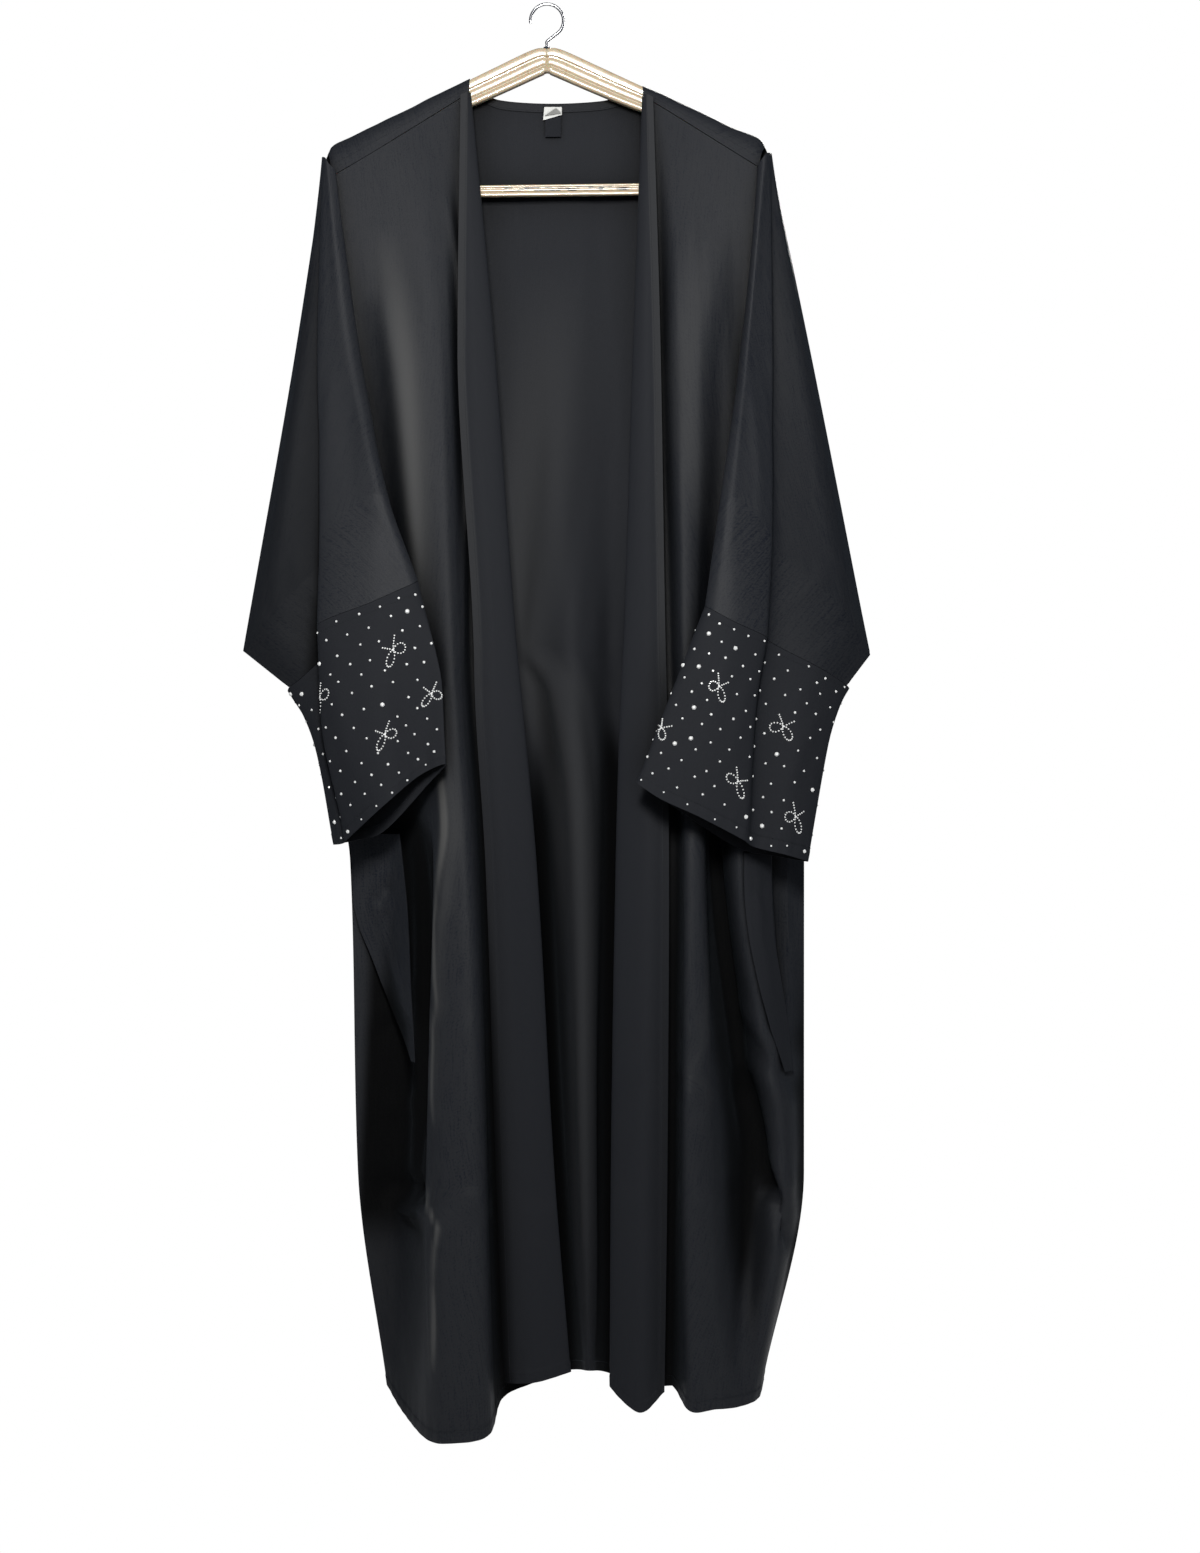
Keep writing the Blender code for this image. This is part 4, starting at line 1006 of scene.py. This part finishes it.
def stitched(name, runs, tree, finish):
    """One piece of stitching along every run of points."""
    points, edges = [], []
    for run in runs:
        start = len(points)
        points += [tuple(p) for p in np.asarray(run) * MM]
        edges += [(start + i, start + i + 1) for i in range(len(run) - 1)]
    data = bpy.data.meshes.new(name)
    data.from_pydata(points, edges, [])
    return grown(name, data, tree, finish)


# ---- the panels --------------------------------------------------------------------------------
def front_folds(table, places):
    """A front's folds; its side edge draws in to meet the back's."""
    folds = body_folds(table, places)
    below = eased((np.array(places) - UNDERARM + SEAM_SPAN / 2) / SEAM_SPAN)
    folds[:, 0, 1] += SEAM_CLOSE * below
    return folds


def back_grid(right, left, places):
    """The back, with its shoulders that come forward over the hanger above its first row."""
    folds = body_folds(BACK, places)
    below = [r for r, place in enumerate(places) if place >= UNDERARM]
    behind = np.array((0, SIDE_SEAM_DEPTH - 2 * SEAM_CLOSE, 0))
    folds[below, 0] = right[below, 0] + behind
    folds[below, -1] = left[below, 0] + behind
    grid = rounded(folds, BACK_STEPS)
    count = ARCH_STEPS * len(SHOULDER_ARCH)
    names = [row[0] for row in BACK]
    low, high = (names.index(name) * BACK_STEPS for name in NECK)
    spare = np.arange(count, 0, -1)[:, None, None] * np.array((0, 0, NECK_ROW))
    added = grid[:1] + spare
    for table, first in ((SHOULDER_RIGHT, 0), (SHOULDER_LEFT, high)):
        own_x = folds[0, first // BACK_STEPS:, 0]
        profile = np.array([[(x + (own - x) * out, y, seam + (crest - seam) * rise)
                             for (x, crest, seam), own in zip(table, own_x)]
                            for y, rise, out in SHOULDER_ARCH])
        strip = rounded(profile, BACK_STEPS)
        end = strip[:, [0 if first == 0 else -1], 0]
        near = np.clip(1 - np.abs(strip[:, :, 0] - end) / TIP_REACH, 0, 1)
        rise = np.array([[row[1]] for row in SHOULDER_ARCH])
        strip[:, :, 2] -= TIP_DROP * rise * (1 - np.sqrt(1 - near ** 2))
        columns = slice(first, first + strip.shape[1])
        path = np.concatenate((strip, grid[:2, columns])).swapaxes(0, 1)
        added[:, columns] = rounded(path, ARCH_STEPS).swapaxes(0, 1)[:count]
    whole = np.concatenate((added, grid))
    cells = np.ones((len(whole) - 1, whole.shape[1] - 1), bool)
    cells[:count, low:high] = False
    return whole, cells, count, low, high


def sleeve_grid(table, panel):
    """The sleeve's front: its last fold is sewn over the front's side edge."""
    places = row_places(SLEEVE_HEIGHTS)
    folds = [monotone(SLEEVE_HEIGHTS, row[1:], places,
                      SLEEVE_CORNERS if row[0] == "top_edge" else ())
             for row in table]
    side, armhole = panel[:, 0], folds[-1]
    for axis, lift in ((0, 0), (1, -ARMHOLE_LIFT)):
        armhole[:, axis] = np.interp(-armhole[:, 2], -side[:, 2], side[:, axis]) + lift
    return rounded(np.stack(folds, axis=1), SLEEVE_STEPS)


def cuff_grid(table, sleeve):
    """The cuff's ring goes on from the sleeve's last row."""
    places = row_places(CUFF_HEIGHTS, HEM_ROWS)
    folds = [monotone(CUFF_HEIGHTS, np.array((top, *row), float), places)
             for top, row in zip(sleeve[-1, ::SLEEVE_STEPS], table)]
    return rounded(np.stack(folds, axis=1), SLEEVE_STEPS, closed=True)


def outset(grid, normals, rows, columns, lift):
    """A run of points on the grid, moved out along its normals."""
    return grid[rows, columns] + normals[rows, columns] * lift


def edge_run(grid, normals, reach, lift, rows):
    """A run at the given reach from the grid's last column, one point to each row."""
    across = lengths(grid, 1)
    raised = grid + normals * lift
    return [[np.interp(across[r, -1] - reach, across[r], raised[r, :, k]) for k in range(3)]
            for r in range(len(grid))[rows]]


def pocket_grid(panel, table):
    """A bag that hangs on the panel's side, moved out from the panel's own points."""
    outward = toward_viewer(normals_of(panel))
    table = np.array(table, float)[::-1]
    rows = []
    for r in range(len(panel)):
        z = panel[r, 0, 2]
        if not table[0, 0] <= z <= table[-1, 0]:
            continue
        outer, inner, lift_outer, lift_inner = (
            np.interp(z, table[:, 0], table[:, k]) for k in range(1, 5))
        points = []
        for k in range(POCKET_CELLS + 1):
            share = k / POCKET_CELLS
            along = (outer + (inner - outer) * share) * FOLD_STEPS
            i = int(along)
            base = panel[r, i] * (1 - along + i) + panel[r, i + 1] * (along - i)
            normal = outward[r, i] * (1 - along + i) + outward[r, i + 1] * (along - i)
            turn = max(share, min(outer, 1))
            normal = normal * (1 - turn) + np.array((0, -1, 0)) * turn
            lift = lift_outer + (lift_inner - lift_outer) * share
            points.append(base + normal / np.linalg.norm(normal) * lift)
        rows.append(points)
    return np.array(rows)


# ---- stones ------------------------------------------------------------------------------------
def bow_places(aslant):
    """A flat bow of small stones, two loops and two tails: along the cuff, toward the hem, width."""
    places = [(0, 0, BEAD * KNOT)]
    bend, power = TAIL_BEND
    for turn, long, half, count in BOW:
        for k in range(1, count + 1):
            if half:
                t = 2 * math.pi * k / (count + 1)
                along = long * (1 - math.cos(t)) / 2
                side = half * math.sin(t) * math.sin(t / 2) ** 0.5
            else:
                along, side = long * (k + TAIL_START) / count, bend * (long * k / count) ** power
            places.append((*turned_by(turn, along, side), BEAD))
    return [(*turned_by(aslant, x, y), width) for x, y, width in places]


def stone_points(grid, side, bows):
    """Loose stones in staggered rows and the bows, laid out on the cuff's cloth and set on it."""
    around, facing = ringed(grid), ringed(normals_of(grid, closed=True) * side)
    across = lengths(around, 1)[len(grid) // 2]
    down = lengths(around, 0).mean(axis=1)
    total, tall = across[-1], down[-1]

    def on_cloth(u, v, width):
        column = np.interp(u % total, across, np.arange(len(across)))
        row = np.interp(v, down, np.arange(len(down)))
        i, j = min(int(row), len(down) - 2), min(int(column), len(across) - 2)
        s, t = row - i, column - j
        corners = (((1 - s) * (1 - t), (i, j)), ((1 - s) * t, (i, j + 1)),
                   (s * (1 - t), (i + 1, j)), (s * t, (i + 1, j + 1)))
        place, face = (sum(weight * points[cell] for weight, cell in corners)
                       for points in (around, facing))
        return place + face / np.linalg.norm(face) * (CLOTH / 2 + STONE_LIFT), face, width

    stones, middles = [], []
    for fold, share, turn in bows:
        u = np.interp(fold * SLEEVE_STEPS, np.arange(len(across)), across)
        v = share * tall
        middles.append((u, v))
        stones += [on_cloth(u + x, v + y, width) for x, y, width in bow_places(turn)]
    columns = round(total / STONE_PITCH)
    rows = round((tall - 2 * STONE_MARGIN) / STONE_ROWS)
    nearest = STONE_MARGIN * STONE_NEAREST
    for r in range(rows + 1):
        for c in range(columns):
            u = (c + 0.5 * (r % 2)) * total / columns + chance.uniform(-1, 1) * STONE_SHIFT
            v = STONE_MARGIN + r * (tall - 2 * STONE_MARGIN) / rows
            v += chance.uniform(-1, 1) * STONE_SHIFT
            width = chance.choices(STONE_SIZES, STONE_SHARES)[0]
            if all(math.hypot(min(abs(u - a), total - abs(u - a)), v - b) > BOW_CLEAR
                   for a, b in middles):
                stones.append(on_cloth(u, min(max(v, nearest), tall - nearest), width))
    return stones


def set_stones(name, stones, tree, finish):
    data = bpy.data.meshes.new(name)
    data.from_pydata([tuple(place * MM) for place, _, _ in stones], [], [])
    facing = data.attributes.new("facing", "FLOAT_VECTOR", "POINT")
    facing.data.foreach_set("vector", np.array([face for _, face, _ in stones], np.float32).ravel())
    widths = data.attributes.new("width", "FLOAT", "POINT")
    widths.data.foreach_set("value", np.array([w * MM for _, _, w in stones], np.float32))
    return grown(name, data, tree, finish)


# ---- hanger ------------------------------------------------------------------------------------
def tube(name, rings, material, closed):
    """A smooth solid through rings of points, joined round or capped, with its faces turned out."""
    count, sides = len(rings), len(rings[0])
    points = np.concatenate([np.asarray(ring, float) for ring in rings])
    faces = []
    for i in range(count if closed else count - 1):
        j = (i + 1) % count
        for k in range(sides):
            n = (k + 1) % sides
            faces.append([i * sides + k, i * sides + n, j * sides + n, j * sides + k])
    if not closed:
        faces.append(list(range(sides))[::-1])
        faces.append([(count - 1) * sides + k for k in range(sides)])
    piece = mesh_piece(name, points, faces, material)
    mesh = bmesh.new()
    mesh.from_mesh(piece.data)
    bmesh.ops.recalc_face_normals(mesh, faces=mesh.faces)
    mesh.to_mesh(piece.data)
    mesh.free()
    return piece


def square_to(along):
    """The direction in the XZ plane that lies square to the way that a path goes."""
    return np.array((-along[1], 0, along[0])) / math.hypot(*along)


def hanger_pieces(plastic, metal):
    """The moulding, its hook and the collar's finish."""
    half = rounded(np.array(HANGER_HALF, float)[None], HANGER_STEPS)[0]
    path = np.concatenate((half, half[1:][::-1] * (-1, 1, 1, 1)))
    path[:, 1] += path[:, 0] * HANGER_TILT
    path[0, 3] *= MITRE
    rings = []
    for i, (x, z, height, depth) in enumerate(path):
        across = square_to(path[(i + 1) % len(path), :2] - path[i - 1, :2])
        rings.append([np.array((x, 0, z)) + across * high * height / 2
                      + np.array((0, side * deep * depth / 2, 0))
                      for side, rows in ((-1, HANGER_SECTION), (1, HANGER_SECTION[::-1]))
                      for high, deep in rows])
    body = tube("hanger_moulding", rings, plastic, closed=True)

    centre = -HOOK_RADIUS + HOOK_WIRE
    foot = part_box("hook")[0][2] / MM
    points = [(HOOK_RADIUS * math.sin(t), centre + HOOK_RADIUS * math.cos(t))
              for t in np.linspace(*HOOK_TURNS, HOOK_STEPS)]
    neck = [(x * HOOK_RADIUS, centre - drop * HOOK_RADIUS) for x, drop in HOOK_NECK]
    bend = rounded(np.array([points[-2:] + neck + [(0, foot + HOOK_STEM)]]), BEND_STEPS)[0]
    points = np.array([*points[:-2], *bend, (0, foot)])
    turns = 2 * math.pi * np.arange(HOOK_SIDES)[:, None] / HOOK_SIDES
    rings = []
    for i, (x, z) in enumerate(points):
        across = square_to(points[min(i + 1, len(points) - 1)] - points[max(i - 1, 0)])
        wire = HOOK_WIRE * (HOOK_TIP if i == 0 else 1)
        rings.append(np.array((x, 0, z)) + across * wire * np.cos(turns)
                     + np.array((0, 1, 0)) * wire * np.sin(turns))
    fitted(body, "hanger_plastic", "hanger_frame")
    fitted(tube("hanger_hook", rings, metal, closed=False), "hook_metal", "hook")
    collar = bpy.data.objects["hook_collar"]
    collar.data.materials.clear()
    collar.data.materials.append(metal)


# ---- making ------------------------------------------------------------------------------------
chance = random.Random(11)
weave = weave_group()
# The strip colour serves the lapels' lighter strip and the painted highlights along lit lines.
satin = cloth_material("satin_crepe", weave, (0.0105, 0.0122, 0.0182), (0.0235, 0.0250, 0.0292),
                       0.42, 0.02, reverse=(0.0160, 0.0172, 0.0212), strip=(0.088, 0.088, 0.088))
binding, thread, tape, tape_painted_shade, tab_cloth = (
    cloth_material(name, weave, *finish) for name, *finish in (
        ("crepe_facing", (0.010, 0.0115, 0.016), (0.018, 0.019, 0.023), 0.52, 0.04),
        ("sewing_thread", (0.010, 0.011, 0.014), (0.022, 0.024, 0.028), 0.5, 0.2),
        ("label_tape", (0.70, 0.70, 0.68), (0.82, 0.82, 0.80), 0.75, 0.1),
        ("label_turned", (0.20, 0.20, 0.195), (0.30, 0.30, 0.29), 0.8, 0.02),
        ("tab_tape", (0.006, 0.007, 0.010), (0.010, 0.011, 0.015), 0.6, 0.1)))
# Its last colour is the painted dark reflection along the bar.
plastic = plastic_material(
    "cream_plastic", (0.54, 0.435, 0.30), (0.40, 0.31, 0.20), (0.035, 0.03, 0.028),
    Subsurface_Weight=0.25, Subsurface_Scale=0.004)
chrome = metal_material("hook_chrome", (0.66, 0.66, 0.68), 0.2)
stone = stone_material("cut_stone")

places = row_places(HEIGHTS, HEM_ROWS)
folds_right, folds_left = front_folds(FRONT_RIGHT, places), front_folds(FRONT_LEFT, places)
plain_right, plain_left = rounded(folds_right, FOLD_STEPS), rounded(folds_left, FOLD_STEPS)
stitches, gems = stitch_tree(), stone_tree()
runs = []
sewn = slice(SEAM_INSET, -SEAM_INSET)


def make_front(name, plain, creases, outward, lit, node_name):
    """A front with its stitches. `outward` is the side of its grid that faces the viewer."""
    grid = creased(plain, normals_of(plain) * outward, creases, FOLD_STEPS)
    normals = normals_of(grid)
    piece = shell(name, grid, satin, thicknesses(grid, foot=HEM_DEPTH, last=FACING_DEPTH),
                  normals=normals, inside=int(outward > 0), strip=FACING_DEPTH, lit=lit)
    for lift in (ON_HEM * outward, -ON_HEM * outward):
        runs.append(outset(grid, normals, stitched_row(grid), sewn, lift))
        runs.append(edge_run(grid, normals, FACING_STITCH, lift, sewn))
    sew_in(piece, grid, (node_name,))


def make_sleeve(side, table, cuff_table, panel, creases, bows, outward):
    """A sleeve's front and its cuff, with the stones."""
    plain = sleeve_grid(table, panel)
    ring = cuff_grid(cuff_table, plain)
    shared = plain.shape[1]
    ring[0, :shared] = plain[-1]
    grid = creased(plain, normals_of(plain) * outward, creases, SLEEVE_STEPS, foot=0)
    ring = creased(ring, normals_of(ring, True) * outward, CUFF_CREASES, SLEEVE_STEPS, closed=True)
    sleeve_normals, ring_normals = normals_of(grid), normals_of(ring, True)
    mean = sleeve_normals[-1] + ring_normals[0, :shared]
    mean /= np.linalg.norm(mean, axis=1, keepdims=True)
    sleeve_normals[-1] = ring_normals[0, :shared] = mean
    fall = ring[1] - ring[0]
    ring[0] += fall / np.linalg.norm(fall, axis=1, keepdims=True) * CUFF_GAP
    sleeve = shell(f"cloak_sleeve_{side}", grid, satin, thicknesses(grid), normals=sleeve_normals,
                   inside=int(outward > 0), shade=SLEEVE_SHADE[side])
    cuff = shell(f"cloak_cuff_{side}", ring, satin, thicknesses(ring, foot=HEM_DEPTH), closed=True,
                 normals=ring_normals, inside=2)
    sew_in(sleeve, grid, (f"sleeve_{side}",))
    stones = set_stones(f"cuff_stones_{side}", stone_points(ring, outward, bows), gems, stone)
    sew_in(cuff, ring, (f"cuff_{side}",), closed=True)
    around = [*range(ring.shape[1]), 0]
    for row, lift in ((stitched_row(ring), ON_HEM), (stitched_row(ring), -ON_HEM),
                      (1, ON_CLOTH * outward)):
        runs.append(outset(ring, ring_normals, row, around, lift))


make_front("cloak_front_right", plain_right, FRONT_RIGHT_CREASES, 1, LIT_RIGHT, "front_right")
make_front("cloak_front_left", plain_left, FRONT_LEFT_CREASES, -1, LIT_LEFT, "front_left")

plain_back, back_cells, neck_row, neck_low, neck_high = back_grid(folds_right, folds_left, places)
back = creased(plain_back, -normals_of(plain_back), BACK_CREASES, BACK_STEPS)
back_normals = normals_of(back)
back_piece = shell("cloak_back", back, satin, thicknesses(back, foot=HEM_DEPTH),
                   normals=back_normals, keep=back_cells, inside=0, lit=LIT_BACK,
                   lit_steps=BACK_STEPS)
sew_in(back_piece, back, BACK_NODES, keep=back_cells)
for lift in (ON_HEM, -ON_HEM):
    runs.append(outset(back, back_normals, stitched_row(back), sewn, lift))
for columns in (slice(2, neck_low - 1), slice(neck_high + 2, -2)):
    runs.append(outset(back, back_normals, 2, columns, -ON_CLOTH))

make_sleeve("right", SLEEVE_RIGHT, CUFF_RIGHT, plain_right, SLEEVE_RIGHT_CREASES, BOWS_RIGHT, 1)
make_sleeve("left", SLEEVE_LEFT, CUFF_LEFT, plain_left, SLEEVE_LEFT_CREASES, BOWS_LEFT, -1)

for side, panel, table in (("right", plain_right, POCKET_RIGHT), ("left", plain_left, POCKET_LEFT)):
    bag = pocket_grid(panel, table)
    bag = creased(bag, toward_viewer(normals_of(bag)), POCKET_CREASES, POCKET_CELLS, foot=0)
    sew_in(shell(f"pocket_bag_{side}", bag, satin), bag, (f"pocket_{side}",))

# The band inside the back neckline.
inside_neck = slice(neck_low + 1, neck_high)
top = back[neck_row, inside_neck]
slope = back[neck_row + 1, inside_neck] - top
slope /= np.linalg.norm(slope, axis=1, keepdims=True)
band = np.stack([top + slope * NECK_BAND * k / BAND_ROWS for k in range(BAND_ROWS + 1)])
band[:, :, 1] -= BAND_OUT
band_thick = np.full(band.shape[:2], BAND_CLOTH)
band_thick[0] = band_thick[-1] = BAND_CLOTH * BAND_EDGE
band_piece = fitted(shell("neck_binding", band, binding, band_thick), "cloak_cloth", "neck_band")
band_width, _, _ = cut_of(band)
runs.append(outset(band, normals_of(band), BAND_ROWS - 1, slice(1, -1),
                   BAND_CLOTH / 2 + THREAD / 4))

stitched("cloak_stitches", runs, stitches, thread)


def tag(name, box_node, size, top_z, curl, slant, material, slot):
    """A small hanging tape that curls forward a little, and slants at its foot."""
    low, high = (np.array(corner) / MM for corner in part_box(box_node))
    centre, depth = (low[0] + high[0]) / 2, (low[1] + high[1]) / 2
    width, height = size
    rows, columns = TAG_CELLS
    v, u = np.meshgrid(np.arange(rows + 1) / rows, np.arange(columns + 1) / columns, indexing="ij")
    grid = np.stack((centre + (u - 0.5) * width - slant * TAG_SLANT * v * (1 - u),
                     depth - curl * v * v * (TAG_TWIST + (1 - TAG_TWIST) * u),
                     top_z - height * v * (1 + slant * (0.5 - u))), axis=2)
    sew_in(shell(name, grid, material, TAG_CLOTH), grid, (box_node,), slot=slot)
    return centre, depth


middle, depth = tag("blank_label", "label", LABEL, LABEL_TOP, LABEL_CURL, LABEL_SLANT, tape,
                    "label_fabric")
tag("size_tab_tape", "size_tab", SIZE_TAB, LABEL_TOP - LABEL[1] + SIZE_TAB_OVERLAP,
    SIZE_TAB_CURL, 0, tab_cloth, "cloak_cloth")

# The label's lower edge is turned up in a small triangle; its tape is a darker copy of the label's,
# painted shade.
left, right, apex = np.array([(middle + x, depth - y, LABEL_TOP + z) for x, y, z in LABEL_TURN])
cells = np.arange(LABEL_TURN_CELLS + 1) / LABEL_TURN_CELLS
up, along = cells[::-1, None, None], cells[None, :, None]
turned = ((left + (right - left) * along) * (1 - up)
          + (apex + (right - left) * (along - 0.5) * LABEL_APEX) * up)
fitted(shell("label_turn", turned, tape_painted_shade, LABEL_TURN_CLOTH), "label_fabric")

hanger_pieces(plastic, chrome)

# ---- studio ------------------------------------------------------------------------------------
scene = bpy.context.scene
scene.view_settings.view_transform = "Standard"


def for_camera(tree, lighting, seen, output):
    """The camera sees one shader, and every other ray meets the other."""
    rays = node(tree, "ShaderNodeLightPath")
    choose = node(tree, "ShaderNodeMixShader",
                  {0: rays.outputs["Is Camera Ray"], 1: lighting, 2: seen})
    tree.links.new(choose.outputs[0], output.inputs[0])


scene.world = bpy.data.worlds.new("pale_room")
scene.world.use_nodes = True
room = scene.world.node_tree
room.nodes.clear()
seen = node(room, "ShaderNodeBackground", {"Color": (1, 1, 1, 1)})
lighting = node(room, "ShaderNodeBackground", {"Color": (0.55, 0.72, 1, 1), "Strength": 0.06})
for_camera(room, lighting.outputs[0], seen.outputs[0], node(room, "ShaderNodeOutputWorld"))

FLOOR = -1620
REACH = 6000
floor_material, paint, _ = new_material("pale_floor", (0.85, 0.85, 0.85), 0.5)
for_camera(paint, paint.nodes["Principled BSDF"].outputs[0],
           node(paint, "ShaderNodeEmission", {"Strength": 1}).outputs[0],
           paint.nodes["Material Output"])
mesh_piece("studio_floor", [(x * REACH, y * REACH, FLOOR) for x, y in
                                     ((-1, -1), (1, -1), (1, 1), (-1, 1))],
                    [[0, 1, 2, 3]], floor_material, smooth=False)


def area_light(name, place, aim, size, power, colour):
    data = bpy.data.lights.new(name, "AREA")
    data.shape = "RECTANGLE"
    data.size, data.size_y = size
    data.energy = power
    data.color = colour
    light = add_object(name, data)
    light.location = place
    light.rotation_euler = (Vector(aim) - Vector(place)).to_track_quat("-Z", "Y").to_euler()


area_light("key", (-0.03, -1.5, 0.05), (0.02, 0, -0.5), (0.3, 0.4), 25.7, (1.0, 0.99, 0.96))
area_light("fill", (0.4, -2.3, 0.0), (0.0, 0, -0.6), (0.6, 1.0), 3.0, (0.85, 0.93, 1.0))
area_light("rear", (0.5, 1.8, 0.6), (0.0, 0, -0.7), (0.8, 0.8), 40, (1.0, 0.98, 0.95))

lens = bpy.data.cameras.new("camera")
lens.sensor_width = 36
lens.lens = 49.51
scene.camera = add_object("camera", lens)
scene.camera.location = (0.0546, -2.2, -0.794)
scene.camera.rotation_euler = (math.pi / 2, 0, 0)
